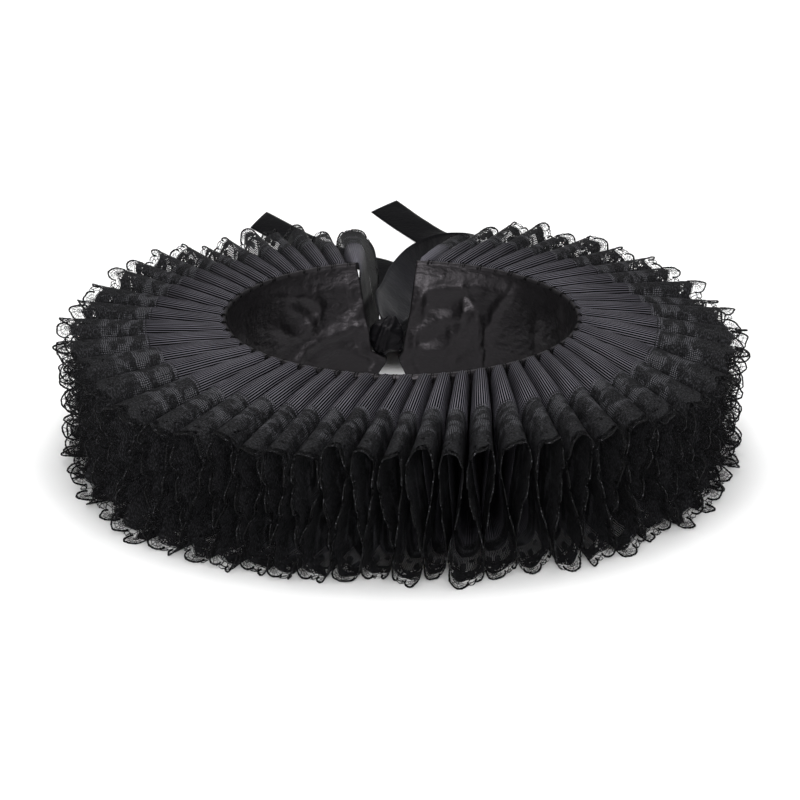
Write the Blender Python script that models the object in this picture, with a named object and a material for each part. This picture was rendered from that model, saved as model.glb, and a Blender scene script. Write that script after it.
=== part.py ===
"""Ruff collar, lying on a table and open at the back. Metres, +Z up, front towards -Y.

A long strip of ribbed cloth is set into figure-of-eight pleats round a stand of satin, a wide lace
edging is sewn to its outer edge, and two satin ribbons tie the ends of the stand behind the neck.
Everything is worked out round the neck's own axis and moved at the end, so that the origin is the
middle of the bounding box, on the table.

A place on the ruff is given by three numbers:
  along   -1 at the left end of the strip, 0 at the front, +1 at the right end
  reach    0 at the neck, 1 at the lace's outer edge
  rise     0 on the table, 1 at the top of the pleats
Azimuths are counted from the front towards +X.
"""

import math
import random

import bpy
from mathutils import Vector

# ---------------------------------------------------------------- driving sizes

MM = 0.001
PLEATS = 52
WALL = 0.0010  # thickness of the cloth, the lace and the ribbon
SEAM = 0.0003  # clearance between two pieces that are sewn together
NECK_RADIUS = 0.0685  # inner ends of the pleats
OUTER_RADIUS_TOP = 0.1306  # lace edge at the top of the pleats
OUTER_RADIUS_FOOT = 0.1293  # lace edge on the table
OUTER_HOLLOW = 0.0012  # how far the lace edge draws in at half its height
STAND_HEIGHT = 0.0563
LACE_START = 0.48  # reach of the seam between the cloth and the lace

# height of the lace edge's top: its mean, and how much lower it is in front than behind
EDGE_HEIGHT = 0.0503
EDGE_DROOP = 0.0022
TOP_SAG = 1.3  # power of reach that the tops fall by, so that they stay level near the neck

# The pleats run from the left end of the strip to the right one. At the neck they are a little closer
# together in front and behind than at the sides.
HALF_SPREAD = math.radians(171.75)
NECK_TURN = math.radians(4.0)
NECK_BUNCH = math.radians(3.6)

# Where each pleat stands at the lace's edge, as it was set by hand: the azimuths of its foot loop and
# its top loop, how far its foot stands out and how far its top stands up from the rule.
PLEAT_PLACES = (
    # foot azimuth and top azimuth in degrees, foot reach and top height in millimetres
    (-176.5, -170.0, 0.5, -2.5),
    (-167.5, -164.5, -1.0, -2.5),
    (-162.5, -160.0, 1.5, 0.5),
    (-157.5, -155.0, -0.5, 1.5),
    (-152.5, -150.5, 2.0, 2.5),
    (-148.0, -145.0, 0.0, 0.5),
    (-143.0, -140.5, -2.0, -0.5),
    (-138.5, -135.5, 1.0, 2.0),
    (-132.5, -129.5, -1.0, 3.0),
    (-126.5, -123.5, 2.5, 2.5),
    (-120.5, -117.0, 0.0, 3.5),
    (-113.0, -108.5, -1.5, 2.5),
    (-104.5, -100.5, 1.5, 2.0),
    (-96.5, -92.5, -0.5, 0.5),
    (-87.5, -83.0, 1.0, -1.0),
    (-78.0, -72.5, -1.0, 0.0),
    (-66.0, -61.0, 0.5, -0.5),
    (-57.0, -52.5, 0.5, -3.0),
    (-46.5, -43.5, 4.5, -3.5),
    (-39.5, -37.0, 3.5, -3.0),
    (-32.5, -31.0, 3.5, -0.5),
    (-27.5, -26.5, 3.5, -4.0),
    (-22.5, -21.0, 1.0, -2.5),
    (-18.0, -16.5, 3.5, -2.5),
    (-13.0, -11.5, 0.5, 1.5),
    (-8.5, -6.5, 0.0, 0.5),
    (-4.5, -1.5, -3.5, -1.0),
    (0.0, 3.0, 1.0, 1.0),
    (5.0, 7.0, -3.5, -1.0),
    (9.5, 12.5, 4.0, 1.0),
    (14.5, 18.5, -1.0, 1.0),
    (20.5, 24.5, -1.5, 1.0),
    (26.0, 29.5, 2.0, -0.5),
    (31.5, 35.5, 2.0, -1.0),
    (37.5, 42.0, 2.0, -0.5),
    (45.0, 50.0, -2.0, -3.5),
    (52.5, 57.5, 2.0, -4.0),
    (61.5, 67.0, 0.5, -2.5),
    (72.5, 78.0, -1.5, 0.5),
    (82.5, 88.0, 0.5, -0.5),
    (93.0, 98.0, 1.5, 0.5),
    (102.5, 106.5, -1.0, -2.5),
    (110.0, 113.5, 0.0, 0.0),
    (117.5, 121.5, 2.0, 1.0),
    (124.5, 128.0, -1.5, 1.0),
    (132.0, 135.5, 0.5, 1.0),
    (138.5, 141.5, -0.5, 3.0),
    (145.0, 148.0, 1.5, 2.0),
    (150.5, 153.0, -1.0, 3.5),
    (155.5, 158.0, 0.5, 3.0),
    (160.5, 163.0, 2.0, 0.0),
    (165.5, 168.5, -0.5, -4.0),
)
LAST_FOOT_PLACE = (172.5, 0.5)

# Half a pleat in section, from the middle of a foot loop (share 0) to the middle of a top loop
# (share 1). At the neck the walls stand upright, and at the edge they bow into a figure of eight.
PLEAT_SECTION = (
    # rise, share at the neck, share at the edge
    (0.00, 0.28, 0.36),
    (0.10, 0.46, 0.70),
    (0.36, 0.50, 0.57),
    (0.64, 0.50, 0.25),
    (0.90, 0.54, 0.29),
    (1.00, 0.71, 0.62),
)
# The outermost wall at each end of the strip has no neighbour, so it hangs straighter. At the neck it
# slants with the end of the stand.
END_WALLS = (
    # share at the neck on the left, on the right, share at the edge on the left, on the right
    (-1.40, -1.00, 0.18, 0.20),
    (-1.20, -0.80, 0.16, 0.26),
    (-0.35, -0.05, 0.10, 0.26),
    (0.45, 0.60, 0.14, 0.28),
    (0.65, 0.74, 0.34, 0.40),
    (0.80, 0.84, 0.62, 0.62),
)

# how uneven hand-set pleats are, each as the most that a pleat departs from the rule
UNEVEN_SEED = 11
UNEVEN_TOP_REACH = 0.0017
UNEVEN_SHARE = 0.07

# the largest openings of the lace: one in each top loop and one in each foot loop
LACE_OPENING = 0.0050
LACE_EDGE_CORD = 0.0013

STAND_WALL = 0.0012
STAND_STITCH_ROOM = 0.00005  # more room outside the stand, as its sides are flat between columns
STAND_COLUMNS = 64
# The stand's ends stand apart at the top and at the table. Just under the knot they are drawn together.
STAND_ENDS = (
    # rise, azimuth of the left end, azimuth of the right end, in degrees
    (0.00, -171.2, 177.5),
    (0.14, -171.6, 178.8),
    (0.25, -175.5, 181.3),
    (0.31, -169.5, 179.6),
    (0.42, -168.7, 179.0),
    (0.62, -167.1, 177.0),
    (1.00, -164.2, 174.8),
)
# soft folds of the loose satin, as swellings towards the neck
SATIN_FOLDS = (
    # azimuth, rise, half width along the band, half height, lean in radians per metre, depth
    (math.radians(153.0), 0.50, 0.0050, 0.030, -2.6, 0.0020),
    (math.radians(166.0), 0.42, 0.0070, 0.014, 6.0, 0.0016),
    (math.radians(141.0), 0.62, 0.0080, 0.016, -5.0, 0.0012),
    (math.radians(-150.0), 0.30, 0.0090, 0.016, 5.0, 0.0018),
    (math.radians(-137.0), 0.66, 0.0070, 0.014, -7.0, 0.0015),
    (math.radians(-70.0), 0.50, 0.0060, 0.024, 3.0, 0.0014),
    (math.radians(-12.0), 0.55, 0.0070, 0.022, -3.0, 0.0014),
    (math.radians(58.0), 0.45, 0.0080, 0.020, 4.0, 0.0014),
)

RIBBON_STEPS = 22
# where the ribbons cross and pull the ends of the stand together
KNOT_CENTRE = (-0.0061, 0.0668, 0.0232)
KNOT_HALF_SIZE = (0.0069, 0.0050, 0.0076)
KNOT_RINGS = 7
KNOT_SIDES = 12
KNOT_FULLNESS = 0.6  # 1 is an ellipsoid, less is fuller towards the knot's ends
# Route of each ribbon's middle from the knot to its free end. Roll turns the width about the route:
# 0 is flat with the first edge to the right of the way it runs, 90 stands on its second edge.
UNDER_RIBBON = (
    # x, y, z, width, roll in degrees
    (-0.0064, 0.0710, 0.0188, 0.0050, 70.0),
    (-0.0034, 0.0900, 0.0088, 0.0110, 20.0),
    (0.0000, 0.1150, 0.0022, 0.0150, 3.0),
    (0.0010, 0.1400, 0.0007, 0.0180, 0.0),
    (-0.0010, 0.1750, 0.0007, 0.0190, 0.0),
    (-0.0040, 0.2120, 0.0007, 0.0190, 0.0),
    (-0.0105, 0.2300, 0.0007, 0.0190, 0.0),
    (-0.0235, 0.2410, 0.0007, 0.0190, 0.0),
    (-0.0375, 0.2555, 0.0007, 0.0190, 0.0),
    (-0.0510, 0.2740, 0.0007, 0.0190, 0.0),
    (-0.0695, 0.3050, 0.0007, 0.0190, 0.0),
)
OVER_RIBBON = (
    (-0.0062, 0.0721, 0.0255, 0.0110, 116.0),
    (-0.0044, 0.0900, 0.0268, 0.0165, 134.0),
    (-0.0010, 0.1200, 0.0225, 0.0188, 142.0),
    (0.0022, 0.1500, 0.0195, 0.0190, 140.0),
    (0.0082, 0.1800, 0.0172, 0.0190, 132.0),
    (0.0165, 0.2050, 0.0135, 0.0190, 112.0),
    (0.0245, 0.2260, 0.0093, 0.0190, 68.0),
    (0.0260, 0.2470, 0.0055, 0.0190, 28.0),
    (0.0150, 0.2730, 0.0014, 0.0190, 3.0),
    (0.0030, 0.3000, 0.0007, 0.0190, 0.0),
    (-0.0085, 0.3280, 0.0007, 0.0190, 0.0),
)
# how far each slanted cut leads at the first edge
UNDER_RIBBON_CUT = 0.0190
OVER_RIBBON_CUT = 0.0136

FINISHES = {
    # name: colour, roughness, metallic
    "ribbed_cloth": ((0.030, 0.029, 0.032), 0.62, 0.0),
    "lace": ((0.010, 0.010, 0.011), 0.70, 0.0),
    "satin": ((0.012, 0.011, 0.012), 0.28, 0.0),
    "ribbon": ((0.014, 0.014, 0.016), 0.34, 0.0),
}


# ---------------------------------------------------------------- small helpers


def mix(a, b, share):
    return a + (b - a) * share


def plan(radius, azimuth):
    """Point in plan, at a radius and an azimuth from the front."""
    return Vector((radius * math.sin(azimuth), -radius * math.cos(azimuth)))


def finish(name):
    """The material of this name, made once."""
    material = bpy.data.materials.get(name)
    if material is None:
        colour, roughness, metallic = FINISHES[name]
        material = bpy.data.materials.new(name)
        material.use_nodes = True
        shader = material.node_tree.nodes["Principled BSDF"]
        shader.inputs["Base Color"].default_value = (*colour, 1.0)
        shader.inputs["Roughness"].default_value = roughness
        shader.inputs["Metallic"].default_value = metallic
    return material


def add_piece(name, points, faces, finish_name):
    """Makes a named object with a clean closed mesh whose faces point out."""
    mesh = bpy.data.meshes.new(name)
    mesh.from_pydata(points, [], faces)
    mesh.validate()
    mesh.materials.append(finish(finish_name))
    mesh.shade_smooth()
    mesh.set_sharp_from_angle(angle=math.radians(50.0))
    piece = bpy.data.objects.new(name, mesh)
    bpy.context.scene.collection.objects.link(piece)
    return piece


def closed_wall(front, back, openings=()):
    """Faces of a wall between two grids of equal size, row by row, with its four edges closed.

    front and back are lists of rows of points. openings holds (row, column) cells that are cut
    through. Both sides are split along the same diagonals, which keeps the wall's thickness.
    """
    rows, columns = len(front), len(front[0])
    points = [point for grid in (front, back) for row in grid for point in row]

    def index(side, row, column):
        return (side * rows + row) * columns + column

    faces = []

    def add_quad(a, b, c, d):
        faces.append((a, b, c))
        faces.append((a, c, d))

    for row in range(rows - 1):
        for column in range(columns - 1):
            corners = ((row, column), (row, column + 1), (row + 1, column + 1), (row + 1, column))
            if (row, column) in openings:
                for here, there in zip(corners, corners[1:] + corners[:1]):
                    add_quad(index(0, *here), index(0, *there), index(1, *there), index(1, *here))
                continue
            a, b, c, d = (index(0, *corner) for corner in corners)
            add_quad(a, b, c, d)
            a, b, c, d = (index(1, *corner) for corner in corners)
            faces.append((a, c, b))
            faces.append((a, d, c))

    last_row, last_column = rows - 1, columns - 1
    for column in range(last_column):
        add_quad(index(0, 0, column + 1), index(0, 0, column), index(1, 0, column), index(1, 0, column + 1))
        add_quad(
            index(0, last_row, column),
            index(0, last_row, column + 1),
            index(1, last_row, column + 1),
            index(1, last_row, column),
        )
    for row in range(last_row):
        add_quad(index(0, row, 0), index(0, row + 1, 0), index(1, row + 1, 0), index(1, row, 0))
        add_quad(
            index(0, row + 1, last_column),
            index(0, row, last_column),
            index(1, row, last_column),
            index(1, row + 1, last_column),
        )
    return points, faces


# ---------------------------------------------------------------- the pleated strip


def uneven_pleats():
    """The places of the foot loops and of the top loops, in metres and radians, and each wall's lean."""
    draw = random.Random(UNEVEN_SEED)
    feet = [{"azimuth": math.radians(foot), "reach": reach * MM} for foot, _, reach, _ in PLEAT_PLACES]
    feet.append({"azimuth": math.radians(LAST_FOOT_PLACE[0]), "reach": LAST_FOOT_PLACE[1] * MM})
    tops = [
        {
            "azimuth": math.radians(top),
            "reach": draw.uniform(-1, 1) * UNEVEN_TOP_REACH,
            "height": height * MM,
        }
        for _, top, _, height in PLEAT_PLACES
    ]
    walls = [draw.uniform(-1, 1) * UNEVEN_SHARE for _ in range(2 * PLEATS)]
    return feet, tops, walls


FEET, TOPS, WALLS = uneven_pleats()


def neck_azimuth(along):
    return NECK_TURN + HALF_SPREAD * along - NECK_BUNCH * math.sin(2 * math.pi * along)


def wall_shares(half_pleat, step):
    """Rise of a place on a wall, and its shares of the way from the foot to the top: neck and edge."""
    rise, neck_share, edge_share = PLEAT_SECTION[step]
    if half_pleat in (0, 2 * PLEATS - 1):
        left_neck, right_neck, left_edge, right_edge = END_WALLS[step]
        return (rise, left_neck, left_edge) if half_pleat == 0 else (rise, right_neck, right_edge)
    if 0.0 < rise < 1.0:
        edge_share += WALLS[half_pleat] * math.sqrt(math.sin(math.pi * rise))
    return rise, neck_share, edge_share


def strip_column(half_pleat, step):
    """One column of the strip: where it stands at the neck and at the edge, and its rise.

    Half pleats are counted from the left end of the strip. An even one climbs from its foot loop
    to its top loop, and an odd one comes down again.
    """
    climbs = half_pleat % 2 == 0
    pleat = half_pleat // 2
    foot_number = pleat if climbs else pleat + 1
    foot, top = FEET[foot_number], TOPS[pleat]
    rise, neck_share, edge_share = wall_shares(half_pleat, step if climbs else -1 - step)
    foot_along = 2 * foot_number / PLEATS - 1
    top_along = (2 * pleat + 1) / PLEATS - 1
    return {
        "neck_azimuth": neck_azimuth(mix(foot_along, top_along, neck_share)),
        "edge_azimuth": mix(foot["azimuth"], top["azimuth"], edge_share),
        "rise": rise,
        "foot": foot,
        "top": top,
    }


def strip_end(foot_number, offset):
    """The column in the middle of a foot loop, where a length of the strip ends."""
    foot = FEET[foot_number]
    return {
        "neck_azimuth": neck_azimuth(2 * foot_number / PLEATS - 1),
        "edge_azimuth": foot["azimuth"],
        "rise": 0.0,
        "foot": foot,
        "top": TOPS[min(foot_number, PLEATS - 1)],
        "offset": offset,
    }


def strip_columns(first_foot, last_foot):
    """The columns of a length of the strip, with a half seam at its ends in front."""
    middle = PLEATS // 2
    columns = []
    if first_foot == middle:
        columns.append(strip_end(first_foot, SEAM / 2))
    for half_pleat in range(2 * first_foot, 2 * last_foot):
        columns += [strip_column(half_pleat, step) for step in range(len(PLEAT_SECTION))]
    if last_foot == middle:
        columns.append(strip_end(last_foot, -SEAM / 2))
    return columns


def strip_place(column, reach):
    """Azimuth, radius and height of the cloth's middle surface."""
    rise, foot, top = column["rise"], column["foot"], column["top"]
    edge_radius = mix(OUTER_RADIUS_FOOT + foot["reach"], OUTER_RADIUS_TOP + top["reach"], rise)
    edge_radius -= OUTER_HOLLOW * math.sin(math.pi * rise)
    neck = plan(NECK_RADIUS, column["neck_azimuth"])
    edge = plan(edge_radius, column["edge_azimuth"])
    place = neck.lerp(edge, reach)
    edge_height = EDGE_HEIGHT - EDGE_DROOP * math.cos(column["edge_azimuth"]) + top["height"]
    height = mix(STAND_HEIGHT, edge_height, reach**TOP_SAG)
    azimuth = math.atan2(place.x, -place.y)
    if azimuth * column["edge_azimuth"] < 0 and abs(azimuth) > math.pi / 2:
        azimuth -= math.copysign(2 * math.pi, azimuth)
    azimuth += column.get("offset", 0.0) / place.length
    return azimuth, place.length, mix(WALL / 2, height - WALL / 2, rise)


def strip_sides(columns, reach):
    """The two faces of the strip at one reach: the middle surface moved out by half a wall.

    The move is worked out on the section unrolled at its mean radius, with mitred corners, so each
    stretch of the section keeps its full thickness.
    """
    places = [strip_place(column, reach) for column in columns]
    mean_radius = sum(place[1] for place in places) / len(places)
    section = [Vector((azimuth * mean_radius, height)) for azimuth, _, height in places]
    runs = [(there - here).normalized() for here, there in zip(section, section[1:])]
    normals = [Vector((-run.y, run.x)) for run in runs]
    sides = []
    for side in (WALL / 2, -WALL / 2):
        row = []
        for number, (here, (_, radius, _)) in enumerate(zip(section, places)):
            before = normals[max(number - 1, 0)]
            after = normals[min(number, len(normals) - 1)]
            middle = (before + after).normalized()
            moved = here + middle * (side / middle.dot(after))
            spot = plan(radius, moved.x / mean_radius)
            row.append((spot.x, spot.y, moved.y))
        sides.append(row)
    return sides


def pleated_length(name, first_foot, last_foot, reaches, finish_name, openings=()):
    """One sewn length of the strip, between two reaches, as a closed wall."""
    columns = strip_columns(first_foot, last_foot)
    outside, inside = zip(*(strip_sides(columns, reach) for reach in reaches))
    points, faces = closed_wall(inside, outside, openings)
    return add_piece(name, points, faces, finish_name)


def loop_openings(pleats, row, lead):
    """Cells of the lace that are open: the middle of each top loop and of each whole foot loop.

    lead is the number of columns before the first whole wall.
    """
    steps = len(PLEAT_SECTION)
    cells = set()
    for pleat in range(pleats):
        first = lead + 2 * steps * pleat
        cells.add((row, first + steps - 1))
        if pleat < pleats - 1:
            cells.add((row, first + 2 * steps - 1))
    return cells


def ruffle():
    """The cloth and the lace, each joined from two lengths that meet under the front."""
    depth = OUTER_RADIUS_TOP - NECK_RADIUS
    half_seam = SEAM / 2 / depth
    opening_end = 1 - LACE_EDGE_CORD / depth
    opening_start = opening_end - LACE_OPENING / depth
    cloth_reaches = (0.0, LACE_START - half_seam)
    lace_reaches = (LACE_START + half_seam, opening_start, opening_end, 1.0)
    middle = PLEATS // 2
    for side, first, last, lead in (("left", 0, middle, 0), ("right", middle, PLEATS, 1)):
        openings = loop_openings(middle, row=1, lead=lead)
        pleated_length(f"cloth_ruffle_{side}", first, last, cloth_reaches, "ribbed_cloth")
        pleated_length(f"lace_edging_{side}", first, last, lace_reaches, "lace", openings)


# ---------------------------------------------------------------- the stand


def satin_swelling(azimuth, height):
    """How far the loose satin stands in from the ruffle's seam, in metres."""
    swelling = 0.0
    for bearing, rise, half_width, half_height, lean, depth in SATIN_FOLDS:
        up = height - rise * STAND_HEIGHT
        sideways = (azimuth - bearing - lean * up) * NECK_RADIUS
        swelling += depth * math.exp(-((sideways / half_width) ** 2) - (up / half_height) ** 2)
    return swelling


def neck_stand():
    """The satin stand that the pleats are sewn to: an open ring, smooth and upright."""
    outer_radius = NECK_RADIUS - SEAM - STAND_STITCH_ROOM
    height = STAND_HEIGHT - SEAM
    outside, inside = [], []
    for rise, left, right in STAND_ENDS:
        outside.append([])
        inside.append([])
        for column in range(STAND_COLUMNS + 1):
            azimuth = math.radians(mix(left, right, column / STAND_COLUMNS))
            free = math.sin(math.pi * rise)
            radius = outer_radius - satin_swelling(azimuth, rise * height) * free
            for grid, offset in ((outside, 0.0), (inside, STAND_WALL)):
                spot = plan(radius - offset, azimuth)
                grid[-1].append((spot.x, spot.y, rise * height))
    points, faces = closed_wall(outside, inside)
    add_piece("neck_stand", points, faces, "satin")


# ---------------------------------------------------------------- the ribbon tie


def smooth_route(rows, steps):
    """Catmull-Rom curve through the rows of a table, read at equal shares of its rows."""
    rows = [Vector(row) for row in rows]
    rows = [rows[0] * 2 - rows[1]] + rows + [rows[-1] * 2 - rows[-2]]
    spans = len(rows) - 3
    route = []
    for step in range(steps + 1):
        share = step / steps * spans
        span = min(int(share), spans - 1)
        t = share - span
        a, b, c, d = rows[span : span + 4]
        route.append(0.5 * (2 * b + (c - a) * t + (2 * a - 5 * b + 4 * c - d) * t**2 + (3 * b - a - 3 * c + d) * t**3))
    return route


def ribbon(name, table, cut):
    """A flat ribbon along its route, its free end cut on a slant."""
    route = smooth_route(table, RIBBON_STEPS)
    front, back = [], []
    for number, row in enumerate(route):
        here, width, roll = Vector(row[:3]), row[3], math.radians(row[4])
        before, after = route[max(number - 1, 0)], route[min(number + 1, RIBBON_STEPS)]
        run = (Vector(after[:3]) - Vector(before[:3])).normalized()
        level = run.cross(Vector((0, 0, 1))).normalized()
        upright = level.cross(run)
        across = level * math.cos(roll) + upright * math.sin(roll)
        face = run.cross(across)
        lead = cut / 2 if number == RIBBON_STEPS else 0.0
        for grid, side in ((front, 1), (back, -1)):
            grid.append(
                [
                    tuple(here + (across * width / 2 + run * lead) * edge + face * (side * WALL / 2))
                    for edge in (1, -1)
                ]
            )
    points, faces = closed_wall(front, back)
    add_piece(name, points, faces, "ribbon")


def ribbon_knot():
    """The crossing of the two ribbons, as a rounded bundle between the ends of the stand."""
    centre, half = Vector(KNOT_CENTRE), KNOT_HALF_SIZE
    points, faces = [tuple(centre - Vector((half[0], 0, 0)))], []
    for ring in range(1, KNOT_RINGS):
        slope = math.pi * ring / KNOT_RINGS
        for side in range(KNOT_SIDES):
            turn = 2 * math.pi * side / KNOT_SIDES
            out = math.sin(slope) ** KNOT_FULLNESS
            points.append(
                (
                    centre.x - half[0] * math.cos(slope),
                    centre.y + half[1] * out * math.cos(turn),
                    centre.z + half[2] * out * math.sin(turn),
                )
            )
    points.append(tuple(centre + Vector((half[0], 0, 0))))
    last = len(points) - 1
    for side in range(KNOT_SIDES):
        beside = (side + 1) % KNOT_SIDES
        faces.append((0, 1 + beside, 1 + side))
        faces.append((last, last - KNOT_SIDES + side, last - KNOT_SIDES + beside))
        for ring in range(KNOT_RINGS - 2):
            low, high = 1 + ring * KNOT_SIDES, 1 + (ring + 1) * KNOT_SIDES
            faces.append((low + side, low + beside, high + beside, high + side))
    add_piece("ribbon_knot", points, faces, "ribbon")


# ---------------------------------------------------------------- assembly


def centre_on_table():
    """Moves every piece so that the origin is the middle of the bounding box, on the table."""
    pieces = list(bpy.context.scene.collection.objects)
    corners = [vertex.co for piece in pieces for vertex in piece.data.vertices]
    middle = Vector(
        [(min(c[axis] for c in corners) + max(c[axis] for c in corners)) / 2 for axis in (0, 1)] + [0.0]
    )
    for piece in pieces:
        piece.location = -middle


def main():
    for old in list(bpy.data.objects):
        bpy.data.objects.remove(old, do_unlink=True)
    ruffle()
    neck_stand()
    ribbon("ribbon_left", UNDER_RIBBON, UNDER_RIBBON_CUT)
    ribbon("ribbon_right", OVER_RIBBON, OVER_RIBBON_CUT)
    ribbon_knot()
    centre_on_table()


main()
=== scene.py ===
"""Ruff collar: ribbed cloth, net lace, satin and ribbon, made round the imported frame.

Metres, +Z up, front towards -Y. A place on the ruff is given by along (-1 at the left end of the
strip, 0 at the front, +1 at the right end), reach (0 at the neck, 1 at the lace's outer edge) and rise
(0 on the table, 1 at the top of the pleats). Azimuths run round the neck from the front towards +X.
"""

import math
import random

import bpy
import numpy as np
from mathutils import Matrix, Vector


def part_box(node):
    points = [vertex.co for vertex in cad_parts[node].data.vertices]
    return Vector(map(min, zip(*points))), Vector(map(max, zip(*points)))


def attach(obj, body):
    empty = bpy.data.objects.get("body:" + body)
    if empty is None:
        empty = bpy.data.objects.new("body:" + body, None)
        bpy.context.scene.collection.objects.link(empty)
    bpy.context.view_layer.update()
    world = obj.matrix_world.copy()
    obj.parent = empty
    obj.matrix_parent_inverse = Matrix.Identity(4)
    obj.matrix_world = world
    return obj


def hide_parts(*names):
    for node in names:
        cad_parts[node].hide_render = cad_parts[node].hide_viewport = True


bl_info = {
    "name": "Ruff Collar",
    "version": (1, 0, 0),
    "blender": (4, 5, 0),
    "location": "View3D > Sidebar > Ruff",
    "description": "Builds a pleated ruff collar with net lace, a satin stand and a ribbon tie",
    "category": "Add Mesh",
}

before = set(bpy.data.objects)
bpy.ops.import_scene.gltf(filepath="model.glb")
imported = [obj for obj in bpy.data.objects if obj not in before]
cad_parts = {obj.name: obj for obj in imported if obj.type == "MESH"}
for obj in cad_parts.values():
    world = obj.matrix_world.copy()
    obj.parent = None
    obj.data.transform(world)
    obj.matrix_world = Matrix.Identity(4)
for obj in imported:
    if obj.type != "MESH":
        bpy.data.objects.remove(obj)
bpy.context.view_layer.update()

MM = 0.001
FULL_TURN = 2 * math.pi

# ---------------------------------------------------------------- sizes shared with the solids

PLEATS = 52
NECK_RADIUS = 0.0685
OUTER_RADIUS_TOP = 0.1306
OUTER_RADIUS_FOOT = 0.1293
OUTER_HOLLOW = 0.0012  # how far the lace's edge draws in at half its height
STAND_HEIGHT = 0.0563
LACE_START = 0.48  # reach of the seam between cloth and lace
EDGE_HEIGHT = 0.0503
EDGE_DROOP = 0.0022
TOP_SAG = 1.3
HALF_SPREAD = math.radians(171.75)
NECK_TURN = math.radians(4.0)
NECK_BUNCH = math.radians(3.6)
STRIP_LIFT = 0.0005  # height of the strip's middle surface where it rests
STRIP_DEPTH = OUTER_RADIUS_TOP - NECK_RADIUS
LOWEST_POINT = 0.12 * MM
NORMAL_STEP = 0.05 * MM
FINE_SPOTS = 60000

# The stand's box gives the neck's own axis in the frame.
STAND_OUTER = NECK_RADIUS - 0.00035
STAND_LOW, STAND_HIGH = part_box("neck_stand")
AXIS = Vector(((STAND_LOW.x + STAND_HIGH.x) / 2, STAND_LOW.y + STAND_OUTER, 0.0))

# Half a pleat, from the middle of a foot loop (share 0) to the middle of a top loop (share 1)
PLEAT_SECTION = (
    # rise, share at the neck, share at the edge, unevenness at the edge
    (0.00, 0.28, 0.34, 0.05),
    (0.04, 0.50, 0.76, 0.03),
    (0.14, 0.64, 0.97, 0.02),
    (0.30, 0.62, 0.86, 0.06),
    (0.48, 0.50, 0.52, 0.11),
    (0.68, 0.36, 0.24, 0.06),
    (0.84, 0.26, 0.15, 0.04),
    (0.94, 0.31, 0.31, 0.05),
    (0.985, 0.54, 0.53, 0.05),
    (1.00, 0.84, 0.83, 0.03),
)
# The outermost wall at each end of the strip has no neighbour, so it hangs straighter, and at the neck
# it slants with the end of the stand.
END_WALLS = (
    # share at the neck on the left, on the right, share at the edge on the left, on the right
    (-1.40, -1.00, 0.18, 0.20),
    (-1.34, -0.94, 0.17, 0.24),
    (-1.06, -0.68, 0.15, 0.26),
    (-0.57, -0.22, 0.11, 0.26),
    (-0.08, 0.22, 0.11, 0.26),
    (0.40, 0.60, 0.15, 0.28),
    (0.65, 0.74, 0.28, 0.32),
    (0.62, 0.71, 0.44, 0.44),
    (0.74, 0.79, 0.60, 0.60),
    (0.88, 0.90, 0.84, 0.84),
)

# Where each pleat stands at the lace's edge
PLEAT_PLACES = (
    # foot azimuth and top azimuth in degrees, then in millimetres how far the foot stands out and the
    # top stands up
    (-176.5, -170.0, 0.5, -2.5),
    (-167.5, -164.5, -1.0, -2.5),
    (-162.5, -160.0, 1.5, 0.5),
    (-157.5, -155.0, -0.5, 1.5),
    (-152.5, -150.5, 2.0, 2.5),
    (-148.0, -145.0, 0.0, 0.5),
    (-143.0, -140.5, -2.0, -0.5),
    (-138.5, -135.5, 1.0, 2.0),
    (-132.5, -129.5, -1.0, 3.0),
    (-126.5, -123.5, 2.5, 2.5),
    (-120.5, -117.0, 0.0, 3.5),
    (-113.0, -108.5, -1.5, 2.5),
    (-104.5, -100.5, 1.5, 2.0),
    (-96.5, -92.5, -0.5, 0.5),
    (-87.5, -83.0, 1.0, -1.0),
    (-78.0, -72.5, -1.0, 0.0),
    (-66.0, -61.0, 0.5, -0.5),
    (-57.0, -52.5, 0.5, -3.0),
    (-46.5, -43.5, 4.5, -3.5),
    (-39.5, -37.0, 3.5, -3.0),
    (-32.5, -31.0, 3.5, -0.5),
    (-27.5, -26.5, 3.5, -4.0),
    (-22.5, -21.0, 1.0, -2.5),
    (-18.0, -16.5, 3.5, -2.5),
    (-13.0, -11.5, 0.5, 1.5),
    (-8.5, -6.5, 0.0, 0.5),
    (-4.5, -1.5, -3.5, -1.0),
    (0.0, 3.0, 1.0, 1.0),
    (5.0, 7.0, -3.5, -1.0),
    (9.5, 12.5, 4.0, 1.0),
    (14.5, 18.5, -1.0, 1.0),
    (20.5, 24.5, -1.5, 1.0),
    (26.0, 29.5, 2.0, -0.5),
    (31.5, 35.5, 2.0, -1.0),
    (37.5, 42.0, 2.0, -0.5),
    (45.0, 50.0, -2.0, -3.5),
    (52.5, 57.5, 2.0, -4.0),
    (61.5, 67.0, 0.5, -2.5),
    (72.5, 78.0, -1.5, 0.5),
    (82.5, 88.0, 0.5, -0.5),
    (93.0, 98.0, 1.5, 0.5),
    (102.5, 106.5, -1.0, -2.5),
    (110.0, 113.5, 0.0, 0.0),
    (117.5, 121.5, 2.0, 1.0),
    (124.5, 128.0, -1.5, 1.0),
    (132.0, 135.5, 0.5, 1.0),
    (138.5, 141.5, -0.5, 3.0),
    (145.0, 148.0, 1.5, 2.0),
    (150.5, 153.0, -1.0, 3.5),
    (155.5, 158.0, 0.5, 3.0),
    (160.5, 163.0, 2.0, 0.0),
    (165.5, 168.5, -0.5, -4.0),
)
LAST_FOOT_PLACE = (172.5, 0.5)

UNEVEN_SEED = 11
UNEVEN_TOP_REACH = 0.0017  # how far the tops stand in or out, in metres
UNEVEN_SHARE = 0.07  # how far a wall leans, as a share of the half pleat

# ---------------------------------------------------------------- settings


def length_setting(name, description, default):
    return bpy.props.FloatProperty(name=name, description=description, default=default, unit="LENGTH")


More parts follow.
